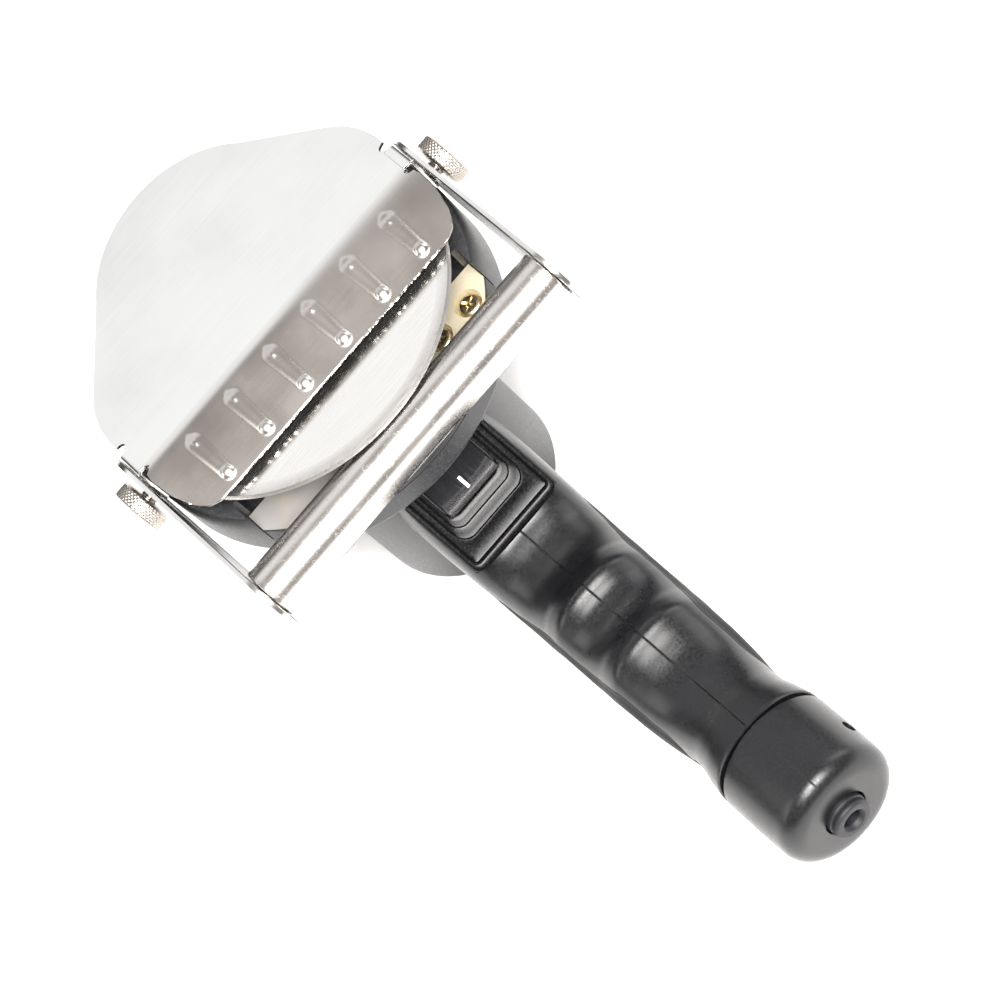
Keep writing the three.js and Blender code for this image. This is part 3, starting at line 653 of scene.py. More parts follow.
def turned(profile, centre, axis="Z", steps=96, closed=False, start=0.0, sweep=360.0, relief=None):
    """Rings of a (radius, along) profile about an axis through centre."""
    whole = sweep == 360.0
    columns = steps if whole else steps + 1
    rows = []
    for i, (radius, along) in enumerate(profile):
        row = []
        for s in range(columns):
            a = math.radians(start + sweep * s / steps)
            r = radius if relief is None else radius + relief(i, a, along)
            u, v = r * math.cos(a), r * math.sin(a)
            if axis == "Z":
                row.append((centre[0] + u, centre[1] + v, along))
            elif axis == "Y":
                row.append((centre[0] + u, along, centre[1] + v))
            else:
                row.append((along, centre[0] + u, centre[1] + v))
        rows.append(row)
    if closed:
        rows.append(rows[0])
    return skin(rows, closed=whole)


def disc(radius, low, high, centre=(0.0, 0.0), axis="Z", steps=48):
    """A plain cutting tool."""
    return solid("tool", *turned([(0, low), (radius, low), (radius, high), (0, high)],
                                 centre, axis, steps))


def block(x0, x1, y0, y1, z0, z1, move=None):
    """A square cutting tool; move carries each corner to its place."""
    base = [(x0, y0), (x1, y0), (x1, y1), (x0, y1)]
    rows = [[(x, y, z) for x, y in base] for z in (z0, z1)]
    if move:
        rows = [[move(*p) for p in row] for row in rows]
    return solid("tool", *skin(rows, closed=True, capped=True))


def plate_x(outline, x0, x1):
    """A (y, z) outline given thickness along X."""
    return skin([[(x, y, z) for y, z in outline] for x in (x0, x1)], closed=True, capped=True)


def arc(cy, cz, r, a0, a1, n):
    steps = [math.radians(a0 + (a1 - a0) * i / n) for i in range(n + 1)]
    return [(cy + r * math.cos(a), cz + r * math.sin(a)) for a in steps]


def sided(name, side, shape):
    """A solid on the +X side, or its mirror image on the other."""
    points, faces = shape
    return solid(name, [(side * x, y, z) for x, y, z in points], faces)


def ease(value, low, high):
    t = min(max((value - low) / (high - low), 0.0), 1.0)
    return t * t * (3 - 2 * t)


def curve_through(table, column):
    """A smooth function through table rows (x, ...) that never overshoots them."""
    xs = [row[0] for row in table]
    ys = [row[column] for row in table]
    gaps = [b - a for a, b in zip(xs, xs[1:])]
    rises = [(b - a) / g for a, b, g in zip(ys, ys[1:], gaps)]
    slopes = [rises[0]]
    for before, after in zip(rises, rises[1:]):
        slopes.append(0.0 if before * after <= 0 else 2 * before * after / (before + after))
    slopes.append(rises[-1])

    def value(x):
        x = min(max(x, xs[0]), xs[-1])
        i = next((k for k in range(len(gaps)) if x <= xs[k + 1]), len(gaps) - 1)
        t = (x - xs[i]) / gaps[i]
        return ((2 * t ** 3 - 3 * t ** 2 + 1) * ys[i] + (t ** 3 - 2 * t ** 2 + t) * gaps[i] * slopes[i]
                + (3 * t ** 2 - 2 * t ** 3) * ys[i + 1] + (t ** 3 - t ** 2) * gaps[i] * slopes[i + 1])

    return value


# ------------------------------------------------------------ guide plate
RIB_COUNT, RIB_PITCH, RIB_HEAD, RIB_TAIL = 6, 14.4, -13.4, -27.4
NOTCHES, NOTCH_DEPTH = ((0.7, 1.0), (-9.9, 1.0)), 1.7
NOSE_SAG = 0.00018


def nose_y(angle):
    """y of the plate's round nose at an angle in degrees from +X."""
    return NOSE_Y + NOSE_R * math.sin(math.radians(angle))


def plate_half_width(y):
    """Half width of the guide plate's outline at y."""
    if y >= nose_y(NOSE_FROM):
        return math.sqrt(max(NOSE_R ** 2 - (y - NOSE_Y) ** 2, 0.0))
    table = (
        (-29.4, 41.6), (-29.0, 42.9), (-28, 45.2), (-26, 46.9), (-24, 48.0), (-19, 49.6),
        (-13, 50.1), (-10.9, 49.6), (-8.9, 49.1), (-8.8, 49.1), (-0.4, 49.1), (-0.3, 49.1),
        (1.7, 50.2), (4.2, 50.2), (9.4, 49.4), (14.6, 47.4), (18.6, 44.4), (37.93, 27.03),
    )
    for (y0, w0), (y1, w1) in zip(table, table[1:]):
        if y0 <= y <= y1:
            width = w0 + (w1 - w0) * (y - y0) / (y1 - y0)
            break
    for notch, radius in NOTCHES:
        reach = 1 - ((y - notch) / radius) ** 2
        if reach > 0:
            width -= NOTCH_DEPTH * math.sqrt(reach)
    return width


def rib_rise(x, y, height):
    """Relief of the pressed ribs: a narrowing ridge with a ball at its tail."""
    if y > RIB_HEAD + 1.5 or y < RIB_TAIL - 1:
        return 0.0
    index = round(x / RIB_PITCH + (RIB_COUNT - 1) / 2)
    if not 0 <= index < RIB_COUNT:
        return 0.0
    dx = x - (index - (RIB_COUNT - 1) / 2) * RIB_PITCH
    top, low = RIB_HEAD - 2.0, RIB_TAIL + 1.6
    along = min(max((top - y) / (top - low), 0.0), 1.0)
    reach = math.hypot(dx, y - (top + (low - top) * along))
    half = 2.9 - 0.7 * along
    ridge = 0.66 * (1 - min(reach / half, 1.0) ** 2) ** 1.3
    head = 0.85 * (0.5 + 0.5 * math.cos(math.pi * min(math.hypot(dx, (y - top) * 0.6) / 2.2, 1.0)))
    ball = math.hypot(dx, y - low) / 1.75
    tail = 1.0 * math.sqrt(1 - ball * ball) if ball < 1 else 0.0
    return height * max(ridge, head, tail)


def plate_height(x, y):
    """Top of the sheet: flat, then bent down with a softer bend at +X."""
    slope = (PLATE_Z - EDGE_Z) / (BEND_Y - EDGE_Y)
    soft = 0.7 + 2.6 * ease(x, -15, 46)
    t = (BEND_Y - y) / soft
    drop = soft * (math.log1p(math.exp(-abs(t))) + max(t, 0.0))
    return PLATE_Z - slope * drop - NOSE_SAG * max(y, 0) ** 2


def build_guide_sheet():
    """The guide plate's pressed sheet with its ears."""
    height = sizes().rib_height / MM
    ys = [EDGE_Y + 0.34 * i for i in range(60)]
    ys += [-9.2 + 0.28 * i for i in range(40)] + [2.2 + 1.6 * i for i in range(22)]
    ys = [y for y in ys if y < 37.5]
    ys += [nose_y(a) for a in (35.5, 38, 42, 47, 52, 58, 64, 70, 76, 81, 85, 88, 89.5)]
    columns = 300
    top = []
    for y in sorted(ys):
        width = plate_half_width(y)
        row = []
        for c in range(columns + 1):
            x = width * (2 * c / columns - 1)
            row.append((x, y, plate_height(x, y) + rib_rise(x, y, height)))
        top.append(row)
    sheet = solid("guide_sheet", *skin(top))
    modify(sheet, "SOLIDIFY", thickness=PLATE_T * MM, offset=-1.0, use_even_offset=True)
    modify(sheet, "BEVEL", width=0.16 * MM, segments=2, limit_method="ANGLE",
           angle_limit=math.radians(60))
    settle(sheet)
    present(sheet, "guide", "guide_plate", "sheet", 50)
    for side_name, side in SIDES:
        profile = rounded([(48.2, 8.97), (51.6, 8.97, 1.7), (51.6, -7.6), (50.4, -7.6),
                           (50.4, 8.0, 0.5), (48.2, 8.0)], 6)
        rows = []
        for y in [-9.0 + 0.2 * i for i in range(41)]:
            corner = max(0.0, 2.6 - (y + 9.0), 2.6 - (-1.0 - y))
            lift = 2.6 - math.sqrt(max(2.6 ** 2 - corner ** 2, 0.0))
            rows.append([(x, y, z + lift if z < -7 else z) for x, z in profile])
        shape = skin(rows, closed=True, capped=True)
        ear = sided(f"guide_ear_{side_name}", side, shape)
        soften(ear, 0.14, 60)
        present(ear, "guide", "guide_plate", "sheet", 50, covers=False)


# ------------------------------------------------------------ thumb screws
def build_thumb_screws():
    """Knurled heads with threaded shanks."""
    depth, count = sizes().knurl_depth / MM, sizes().knurl_count
    head = KNOB_R
    profile = [(0, 50.6), (2.0, 50.6)] + [(2.4, 51.0 + 0.1 * i) for i in range(38)]
    profile += [(3.6, 54.75), (3.6, KNOB_IN), (head - 1.0, KNOB_IN + 0.05), (head - 0.1, KNOB_IN + 0.6)]
    knurl_from = len(profile)
    profile += [(head, KNOB_IN + 0.75 + 0.125 * i) for i in range(27)]
    knurl_to = len(profile)
    profile += [(head - 0.1, KNOB_OUT - 0.65), (head - 0.9, KNOB_OUT - 0.05), (head - 1.5, KNOB_OUT)]
    profile += [(4.3, KNOB_OUT - 0.1), (4.1, KNOB_OUT - 0.5), (0, KNOB_OUT - 0.6)]

    def relief(row, angle, along):
        if 2 <= row < 40:
            wave = (along / 0.7 + angle / (2 * math.pi)) % 1.0
            return -0.42 * abs(2 * wave - 1)
        if knurl_from <= row < knurl_to:
            turn = angle * count / (2 * math.pi)
            step = along * count / (2 * math.pi * head)
            first, second = [abs(2 * ((turn + k * step) % 1.0) - 1) for k in (1, -1)]
            return -depth * max(first, second) ** 1.5
        return 0.0

    for side_name, side in SIDES:
        shape = turned(profile, (THUMB_Y, THUMB_Z), "X", count * 8, relief=relief)
        screw = sided(f"thumb_knob_{side_name}", side, shape)
        present(screw, f"thumb_{side_name}", f"thumb_screw_{side_name}", "nickel", 60)


# ------------------------------------------------------------ guard frame
def flush_screw(name, y, z, length, side, node):
    """A slotted countersunk screw, flush with the arm's outside."""
    profile = [(0, ARM_IN - length), (1.5, ARM_IN - length)]
    profile += [(1.6, ARM_IN - 0.1), (2.7, ARM_OUT - 0.1), (2.6, ARM_OUT), (0, ARM_OUT)]
    shape = turned(profile, (y, z), "X", 40)
    screw = sided(name, side, shape)
    slot = sorted((side * (ARM_OUT - 0.7), side * 60))
    carve(screw, block(*slot, y - 0.38, y + 0.38, z - 4, z + 4))
    present(screw, "frame", node, "steel")


def build_guard_frame():
    """Side arms, tube, its plugs and the flush screws."""
    edge = sizes().edge_round / MM
    outline = arc(THUMB_Y, THUMB_Z, ARM_TOP_R, -20, 100, 26) + arc(TUBE_Y, TUBE_Z, ARM_END_R, 96, 250, 34)
    outline += rounded([(-54, -21), (-47, -28.6, 2.0), (-32.5, -28.6, 3.0), (-24, -24, 4.0),
                        (-8, -19, 4.0), (3, -13)], 6)[1:-1]
    for side_name, side in SIDES:
        arm = solid(f"arm_{side_name}", *plate_x(outline, *sorted((side * ARM_IN, side * ARM_OUT))))
        slot_line = rounded([(THUMB_Y - 2.75, THUMB_Z - 4.5, 2.7), (THUMB_Y + 2.75, THUMB_Z - 4.5, 2.7),
                             (THUMB_Y + 2.75, THUMB_Z + 8.1, 2.7), (THUMB_Y - 2.75, THUMB_Z + 8.1, 2.7)],
                            8, closed=True)
        tools = [solid("tool", *plate_x(slot_line, *sorted((side * 50, side * 56))))]
        for y, z in (*ARM_SCREWS, (TUBE_Y, TUBE_Z)):
            sink = [(0, 51), (1.95, 51), (1.95, ARM_IN + 0.1),
                    (2.95, ARM_OUT - 0.05), (3.05, 54), (0, 54)]
            tools.append(sided("tool", side, turned(sink, (y, z), "X", 32)))
        carve(arm, *tools)
        soften(arm, edge * 0.8, 35)
        present(arm, "frame", f"guard_arm_{side_name}", "arm")

        plug = rounded([(0, 42), (5.5, 42, 0.5), (5.5, TUBE_X - 0.1, 0.4), (0, TUBE_X - 0.1)], 3)
        shape = turned(plug, (TUBE_Y, TUBE_Z), "X", 40)
        plug = sided(f"end_plug_{side_name}", side, shape)
        present(plug, "frame", f"tube_plug_{side_name}", "nylon")
        flush_screw(f"tube_fixing_{side_name}", TUBE_Y, TUBE_Z, 9.0, side, f"tube_screw_{side_name}")
        for i, (y, z) in enumerate(ARM_SCREWS, 1):
            flush_screw(f"arm_fixing_{i}_{side_name}", y, z, 7.4, side, f"arm_screw_{i}_{side_name}")

    radius = sizes().tube_radius / MM
    bore = radius - TUBE_WALL
    section = rounded([(bore, -TUBE_X, 0.3), (radius, -TUBE_X, 0.5), (radius, TUBE_X, 0.5),
                       (bore, TUBE_X, 0.3)], 4, closed=True)
    lines = []
    for (r0, x0), (r1, x1) in zip(section, section[1:] + section[:1]):
        parts = 24 if abs(x1 - x0) > 50 else 1
        lines += [(r0 + (r1 - r0) * i / parts, x0 + (x1 - x0) * i / parts) for i in range(parts)]
    tube = solid("drawn_tube", *turned(lines, (TUBE_Y, TUBE_Z), "X", 128, closed=True))
    present(tube, "frame", "guard_tube", "tube")


# ------------------------------------------------------------ blade
def build_blade():
    """Bevelled disc, its nut and washer; the shaft parts keep their solids."""
    inner = BLADE_R - BEVEL
    profile = [(4.3, -BLADE_T), (30, -BLADE_T), (48.6, -BLADE_T), (49.3, -1.45), (BLADE_R, -1.38)]
    profile += [(49.35, -1.2), (48.9, -0.5), (inner + 1.6, -0.2), (inner + 0.15, -0.02)]
    profile += [(inner - 0.1, 0.0), (34, 0.0), (20, 0.0), (4.3, 0.0)]
    disc_mesh = solid("round_blade", *turned(profile, (0, 0), "Z", 220, closed=True))
    present(disc_mesh, "blade_rotor", "blade", "blade", 12)

    washer = solid("nut_washer", *turned(
        rounded([(4.3, 0.3, 0.1), (10, 0.3, 0.15), (10, 1.1, 0.3), (4.3, 1.1, 0.15)], 3, True),
        (0, 0), "Z", 64, closed=True))
    present(washer, "blade_rotor", "blade_washer", "steel")

    flats = arc(0, 0, 7.2, 0, 300, 5)
    nut = solid("hex_nut", *skin([[(x, y, z) for x, y in flats] for z in (1.4, 5.2)], True, True))
    ring = turned([(5.9, 5.6), (6.4, 5.3), (7.6, 4.5), (8.6, 5.0), (8.6, 5.7)],
                  (0, 0), "Z", 64, closed=True)
    carve(nut, disc(4.2, 0, 7, steps=40), solid("tool", *ring))
    present(nut, "blade_rotor", "blade_nut", "steel", 25)
    dress("steel", "blade_hub", "spindle")
    dress("brass", "drive_gear")


# ------------------------------------------------------------ gear head
def build_gear_head():
    """The coated casting and its lid."""
    profile = rounded([
        (0, HEAD_BACK), (47.4, HEAD_BACK, 2.0), (HEAD_R, HEAD_BACK + 4.1, 2.0), (HEAD_R, HEAD_RIM, 0.7),
        (HEAD_BORE, HEAD_RIM, 0.5), (HEAD_BORE, HEAD_FLOOR, 1.2), (0, HEAD_FLOOR)], 5)
    head = solid("cast_head", *turned(profile, (0, 0), "Z", 160))
    lugs = []
    for _, side in SIDES:
        lug = block(*sorted(side * x for x in LUG[0]), *LUG[1], *LUG[2])
        lugs.append(soften(lug, 0.8, 40, 3))
    carve(head, *lugs, operation="UNION")
    carve(head, block(-PAD_X - 0.3, PAD_X + 0.3, -70, PAD_Y + 0.3, HEAD_FLOOR, 5),
          disc(NOSE_BORE_R, -40, 5, (0, MOTOR_Y), steps=40), disc(GEAR_CHAMBER_R, -30, 5, steps=64))
    present(head, "frame", "gear_head", "casting", 28)

    lid = solid("cast_lid", *turned(rounded([
        (5, -14.6, 0.2), (9.8, -14.6), (9.8, -21.6), (22, -21.6, 0.3), (22, -19.6, 0.6),
        (12.4, -19.6, 1.2), (12.4, -13.4, 0.8), (5, -13.4, 0.3)], 4, True), (0, 0), "Z", 96, closed=True))
    present(lid, "frame", "bearing_lid", "casting", 28)


def build_mount_pad():
    """Machined pad with its cross-headed screws."""
    chord = math.degrees(math.asin(-PAD_Y / HEAD_R))
    line = [p for p in arc(0, 0, HEAD_R - 0.02, 180 + chord, 360 - chord, 60) if abs(p[0]) < PAD_X]
    ends = [(PAD_X, -math.sqrt(HEAD_R ** 2 - PAD_X ** 2)), (PAD_X, PAD_Y)]
    ends += [(-PAD_X, PAD_Y), (-PAD_X, -math.sqrt(HEAD_R ** 2 - PAD_X ** 2))]
    levels = (HEAD_FLOOR + 0.3, PAD_Z)
    pad = solid("machined_pad", *skin([[(x, y, z) for x, y in line + ends] for z in levels],
                                      True, True))
    tools = [disc(PAD_BORE_R, -30, 0, steps=96)]
    for x, y in PAD_SCREWS:
        tools += [disc(1.9, -30, 0, (x, y), steps=24), disc(3.9, -19.4, 0, (x, y), steps=48)]
    carve(pad, *tools)
    soften(pad, sizes().edge_round / MM, 40)
    present(pad, "frame", "mount_pad", "machined")

    for i, (x, y) in enumerate(PAD_SCREWS, 1):
        dome = rounded([(0, -27), (1.5, -27), (1.5, -19.1), (3.2, -19.1, 0.2), (3.4, -18.3, 0.5),
                        (2.6, -17.45, 1.2), (0, -17.4)], 4)
        screw = solid(f"cross_screw_{i}", *turned(dome, (x, y), "Z", 48))
        spin = math.radians(20 + 47 * i)

        def swing(px, py, pz, x=x, y=y, spin=spin):
            return (x + px * math.cos(spin) - py * math.sin(spin),
                    y + px * math.sin(spin) + py * math.cos(spin), pz)

        carve(screw, block(-2.0, 2.0, -0.42, 0.42, -18.5, -16, swing),
              block(-0.42, 0.42, -2.0, 2.0, -18.5, -16, swing))
        present(screw, "frame", f"pad_screw_{i}", "yellow")


# ------------------------------------------------------------ grip shells
HALF_AT, FRONT_AT, REAR_AT = [curve_through(GRIP, column) for column in (1, 2, 3)]
PANEL_TOP, PANEL_LOW = curve_through(PANEL_FRONT, 1), curve_through(PANEL_REAR, 1)
PANEL_Y = (PANEL_FRONT[0][0], PANEL_FRONT[-1][0])


def grip_power(y):
    return 0.6 + 0.22 * ease(y, -58, -70) if y > -70 else 0.82


def grip_point(y, angle, sink=0.0):
    """A point of the grip's cross-section; the angle is 90 in front, -90 behind."""
    power = grip_power(y)
    half, front, rear = HALF_AT(y) - sink, FRONT_AT(y), REAR_AT(y)
    middle, reach = (front + rear) / 2, (front - rear) / 2 - sink
    c, s = math.cos(angle), math.sin(angle)
    return (half * abs(c) ** power, y, middle + reach * math.copysign(abs(s) ** power, s))


def grip_angle(y, z):
    """The section angle whose point lies at height z."""
    front, rear = FRONT_AT(y), REAR_AT(y)
    share = (z - (front + rear) / 2) / ((front - rear) / 2)
    share = min(max(share, -1.0), 1.0)
    return math.asin(math.copysign(abs(share) ** (1 / grip_power(y)), share))


def split(first, last, count):
    return [first + (last - first) * i / count for i in range(count + 1)]


def panel_span(y, gap=0.0):
    """Section angles of the panel's front and rear edges at y."""
    y = min(max(y, PANEL_Y[0] + 0.01), PANEL_Y[1] - 0.01)
    top, low = PANEL_TOP(y) - gap, PANEL_LOW(y) + gap
    if top < low:
        top = low = (top + low) / 2
    return grip_angle(y, top), grip_angle(y, low)


def grip_rows():
    ys = split(-26, -58, 14) + split(-58, -61.4, 5)[1:] + split(-61.4, -64.4, 12)[1:]
    ys += split(-64.4, -132, 112)[1:] + split(-132, -135.6, 14)[1:] + split(-135.6, -150.0, 20)[1:]
    return ys


def shell_row(y, sink, depth):
    """One half-section of the shell, sunk in the panel's bed."""
    front, rear = panel_span(y)
    bed = depth if PANEL_Y[0] < y < PANEL_Y[1] else 0.0
    seam = [math.acos((x / HALF_AT(y)) ** (1 / grip_power(y))) for x in (0.0, 0.12, 0.24, 0.36, 0.5, 0.8)]
    row = [grip_point(y, angle, sink) for angle in seam + split(seam[-1], front, 32)[1:]]
    for angle in split(front, rear, 10):
        row.append(grip_point(y, angle, sink + bed))
    for angle in split(rear, -seam[-1], 14) + [-angle for angle in reversed(seam[:-1])]:
        row.append(grip_point(y, angle, sink))
    closing = []
    for x, py, z in row:
        dip = SEAM_DIP * max(0.0, 1 - x / SEAM_REACH)
        z -= math.copysign(dip, z - GRIP_Z)
        closing.append((max(x, SHELL_GAP), py, z))
    return closing


def pocket(x, s, w):
    """A point of the switch pocket: across, up the slope and out of its face."""
    root = math.sqrt(0.5)
    return (x, POCKET_Y + root * (s - w), POCKET_Z + root * (s + w))


def build_shells():
    """Both halves of the barrel and grip moulding, with the rubber panels."""
    back = rounded([(0, BARREL_BACK), (BARREL_R, BARREL_BACK, 2.4), (BARREL_R, BARREL_FRONT, 0.4),
                    (0, BARREL_FRONT)], 6)
    for side_name, side in SIDES:
        rows = [shell_row(y, 0.0, 1.1) for y in grip_rows()]
        rows += [shell_row(SEAM_Y + 0.2, 0.10, 0), shell_row(SEAM_Y, 0.45, 0)]
        shape = skin(rows, closed=True, capped=True)
        grip = sided(f"grip_half_{side_name}", side, shape)

        def parting(row, angle, along):
            return -SEAM_DIP * max(0.0, 1 - abs(BARREL_R * math.cos(angle)) / SEAM_REACH)

        points, faces = turned(back, (0, MOTOR_Y), "Z", 90, start=-90, sweep=180, relief=parting)
        count = 91
        for r in range(len(back) - 1):
            faces.append((r * count, (r + 1) * count, (r + 1) * count + count - 1, r * count + count - 1))
        points = [(max(x, SHELL_GAP), y, z) for x, y, z in points]
        barrel = sided(f"barrel_half_{side_name}", side, (points, faces))
        half, end = POCKET_X + 0.25, POCKET_LENGTH + 9
        pocket_line = rounded([(-half, 0.0, 1.3), (half, 0.0, 1.3), (half, end), (-half, end)],
                              6, closed=True)
        hollow = solid("tool", *skin([[pocket(x, s, w) for x, s in pocket_line]
                                      for w in (-6.6, 12)], True, True))
        carve(grip, hollow, block(-40, 40, -80, 40, BARREL_FRONT, 5))
        vents = [block(side * 5 - 3.5, side * 5 + 3.5, MOTOR_Y + dy - 1, MOTOR_Y + dy + 1, -95, -86)
                 for dy in (-13, -6.5, 6.5, 13)]
        carve(barrel, *vents)
        if side < 0:
            wells = [disc(3.5, -30, -10.1, place, "X", 32) for place in SHELL_SCREWS]
            carve(grip, *wells)
        for shell in (grip, barrel):
            present(shell, "frame", f"grip_shell_{side_name}", "shell", 30)
        build_panel(side_name, side)
    for i, (y, z) in enumerate(SHELL_SCREWS, 1):
        head = rounded([(0, 0), (1.4, 0), (1.4, -10.1), (3.0, -10.1, 0.15),
                        (3.0, -11.5, 0.5), (0, -11.6)], 3)
        screw = solid(f"shell_fixing_{i}", *turned(head, (y, z), "X", 36))
        carve(screw, block(-14, -10.9, y - 0.38, y + 0.38, z - 1.9, z + 1.9),
              block(-14, -10.9, y - 1.9, y + 1.9, z - 0.38, z + 0.38))
        present(screw, "frame", f"shell_screw_{i}", "steel")


def build_panel(side_name, side):
    """One ribbed rubber panel lying in its bed."""
    ribs = sizes().panel_ribs
    columns = ribs * 6
    ys = split(PANEL_Y[1] - 0.35, PANEL_Y[1] - 3, 9) + split(PANEL_Y[1] - 3, PANEL_Y[0] + 3, 90)[1:]
    ys += split(PANEL_Y[0] + 3, PANEL_Y[0] + 0.35, 9)[1:]
    outer, inner = [], []
    for y in ys:
        front, rear = panel_span(y, 0.35)
        ends = ease(y, PANEL_Y[0], PANEL_Y[0] + 4) * ease(y, PANEL_Y[1], PANEL_Y[1] - 4)
        row = []
        for c, angle in enumerate(split(front, rear, columns)):
            edge = min(c, columns - c) / 3
            wave = 0.5 - 0.5 * math.cos(2 * math.pi * c / 6)
            sink = 0.02 + 0.35 * (1 - min(edge, 1.0)) ** 2 + 0.28 * wave * ends * min(edge / 2, 1.0)
            row.append(grip_point(y, angle, sink))
        outer.append(row)
        inner.append([grip_point(y, angle, 1.0) for angle in split(rear, front, columns)])
    rows = [a + b for a, b in zip(outer, inner)]
    shape = skin(rows, closed=True, capped=True)
    panel = sided(f"grip_panel_{side_name}", side, shape)
    present(panel, "frame", f"grip_pad_{side_name}", "panel", 60)


# ------------------------------------------------------------ switch
def pocket_ring(half, low, radius, w):
    """A U-shaped line of the bezel: down one side, round the foot and up the other."""
    line = [(-half, POCKET_LENGTH - (POCKET_LENGTH - low - radius) * i / 6) for i in range(6)]
    for cx, a0 in ((-half + radius, 180), (half - radius, 270)):
        for i in range(9):
            a = math.radians(a0 + 90 * i / 8)
            line.append((cx + radius * math.cos(a), low + radius + radius * math.sin(a)))
    line += [(-x, s) for x, s in reversed(line[:6])]
    return [pocket(x, s, w) for x, s in line]


def build_switch():
    """Stepped bezel, rocker and its bar mark."""
    rings = [
        (15.0, 0.2, 1.1, -5.9), (15.0, 0.2, 2.2, -0.35), (14.85, 0.35, 2.1, -0.1), (14.6, 0.6, 2.0, 0.0),
        (13.9, 1.9, 1.6, 0.0), (13.6, 2.3, 1.3, -0.1), (13.4, 2.7, 1.0, -0.4), (13.2, 3.0, 0.7, -1.15),
        (13.0, 3.3, 0.6, -1.2), (12.4, 4.9, 1.4, -1.3), (11.95, 6.9, 2.9, -1.35), (11.75, 7.3, 3.5, -1.25),
        (11.6, 7.7, 3.7, -1.3), (11.45, 8.0, 3.7, -2.2), (11.0, 9.2, 3.5, -2.35), (10.6, 10.4, 3.3, -2.35),
        (10.4, 10.9, 3.3, -2.45), (10.25, 11.2, 3.2, -3.3), (9.8, 12.6, 3.1, -3.45), (9.4, 13.7, 3.0, -3.5),
        (9.3, 14.0, 3.0, -3.7), (9.25, 14.1, 2.9, -7.0), (4.0, 16.5, 2.0, -7.0), (2.1, 18.5, 2.0, -7.0),
    ]
    points, faces = skin([pocket_ring(*ring) for ring in rings])
    bezel = solid("stepped_bezel", points, faces)
    modify(bezel, "SOLIDIFY", thickness=0.0001, offset=-1.0)
    settle(bezel)
    present(bezel, "frame", "switch_bezel", "bezel", 40)

    top = [(k / 12, -0.95 + ROCKER_DISH * abs(k / 12)) for k in range(-12, 13)]
    line = [(-1, -1.0), (0, -2.6), (1, -1.0)] + list(reversed(top))
    rows, ends = [], []
    cos, sin = math.cos(ROCKER_TILT), math.sin(ROCKER_TILT)

    def rocker_point(x, k, w):
        s = k * ROCKER_HALF
        return pocket(x, ROCKER_S + s * cos - w * sin, ROCKER_W + s * sin + w * cos)

    for inset, sink in ((0, 0.35), (0.15, 0.1), (0.4, 0.0), (ROCKER_X, 0.0)):
        ends.append((ROCKER_X - inset, sink))
    ends += [(-x, sink) for x, sink in reversed(ends[:-1])]
    for x, sink in ends:
        rows.append([rocker_point(x, k * (1 - sink * 0.12), w - sink if i > 2 else w)
                     for i, (k, w) in enumerate(line)])
    cap = solid("rocker_cap", *skin(rows, True, True))
    soften(cap, 0.18, 50)
    present(cap, "rocker_key", "rocker", "gloss", 18)

    corners = rounded([(-0.58, -0.42, 0.04), (-0.58, 0.42, 0.04),
                       (0.11, 0.42, 0.04), (0.11, -0.42, 0.04)], 3, True)

    def mark_row(lift):
        return [rocker_point(x, k, -0.95 + ROCKER_DISH * abs(k) + lift) for k, x in corners]

    mark = solid("rocker_bar", *skin([mark_row(-0.2), mark_row(0.035)], True, True))
    present(mark, "rocker_key", "rocker", "mark", covers=False)


# ------------------------------------------------------------ grip end
def cap_bore(name, profile):
    """A turned piece along the cap's tilted side hole."""
    points, faces = turned(profile, (CAP_HOLE_Y, 0), "X", 32)
    cos, sin = math.cos(CAP_HOLE_ANGLE), math.sin(CAP_HOLE_ANGLE)
    return solid(name, [(x * cos - z * sin, y, x * sin + z * cos + GRIP_Z) for x, y, z in points], faces)


def build_end_cap():
    """Rounded end cap with its cable gland."""
    profile = rounded([
        (5.9, -160), (13.0, -160), (13.0, -151.1), (CAP_R, -151.1, 0.35), (CAP_R + 0.15, -162),
        (CAP_R, CAP_END, 5.2), (6.1, CAP_END, 0.5), (5.9, -172)], 8, True)
    dense = []
    for (r0, y0), (r1, y1) in zip(profile, profile[1:] + profile[:1]):
        parts = 8 if abs(y1 - y0) > 6 else 1
        dense += [(r0 + (r1 - r0) * i / parts, y0 + (y1 - y0) * i / parts) for i in range(parts)]

    def parting(row, angle, along):
        if dense[row][0] < 13.1:
            return 0.0
        off = abs(dense[row][0] * math.cos(angle))
        return -SEAM_DIP * max(0.0, 1 - off / 0.3)

    cap = solid("grip_cap", *turned(dense, (0, GRIP_Z), "Y", 360, closed=True, relief=parting))
    carve(cap, cap_bore("tool", [(0, 8), (CAP_HOLE_R, 8), (CAP_HOLE_R, 20), (0, 20)]))
    present(cap, "frame", "end_cap", "shell", 30)
    inner, outer = CAP_HOLE_R - 0.05, CAP_HOLE_R + 0.3
    well = cap_bore("cap_hole", [(0, 9.5), (inner, 9.5), (inner, 15.8),
                                 (outer, 15.8), (outer, 9.2), (0, 9.2)])
    present(well, "frame", "end_cap", "soft", covers=False)

    gland = solid("cord_gland", *turned(rounded([
        (2.6, -168), (7.6, -168, 0.3), (7.6, -172.6, 0.3), (5.6, -172.6, 0.3), (5.6, -177.0, 0.2),
        (5.3, -177.3, 0.2), (5.3, -178.0, 0.2), (5.6, -178.3, 0.2), (5.6, GLAND_END, 0.8),
        (3.4, GLAND_END, 0.5), (2.6, -178.4, 0.5)], 4, True), (0, GRIP_Z), "Y", 64, closed=True))
    present(gland, "frame", "cable_gland", "soft")


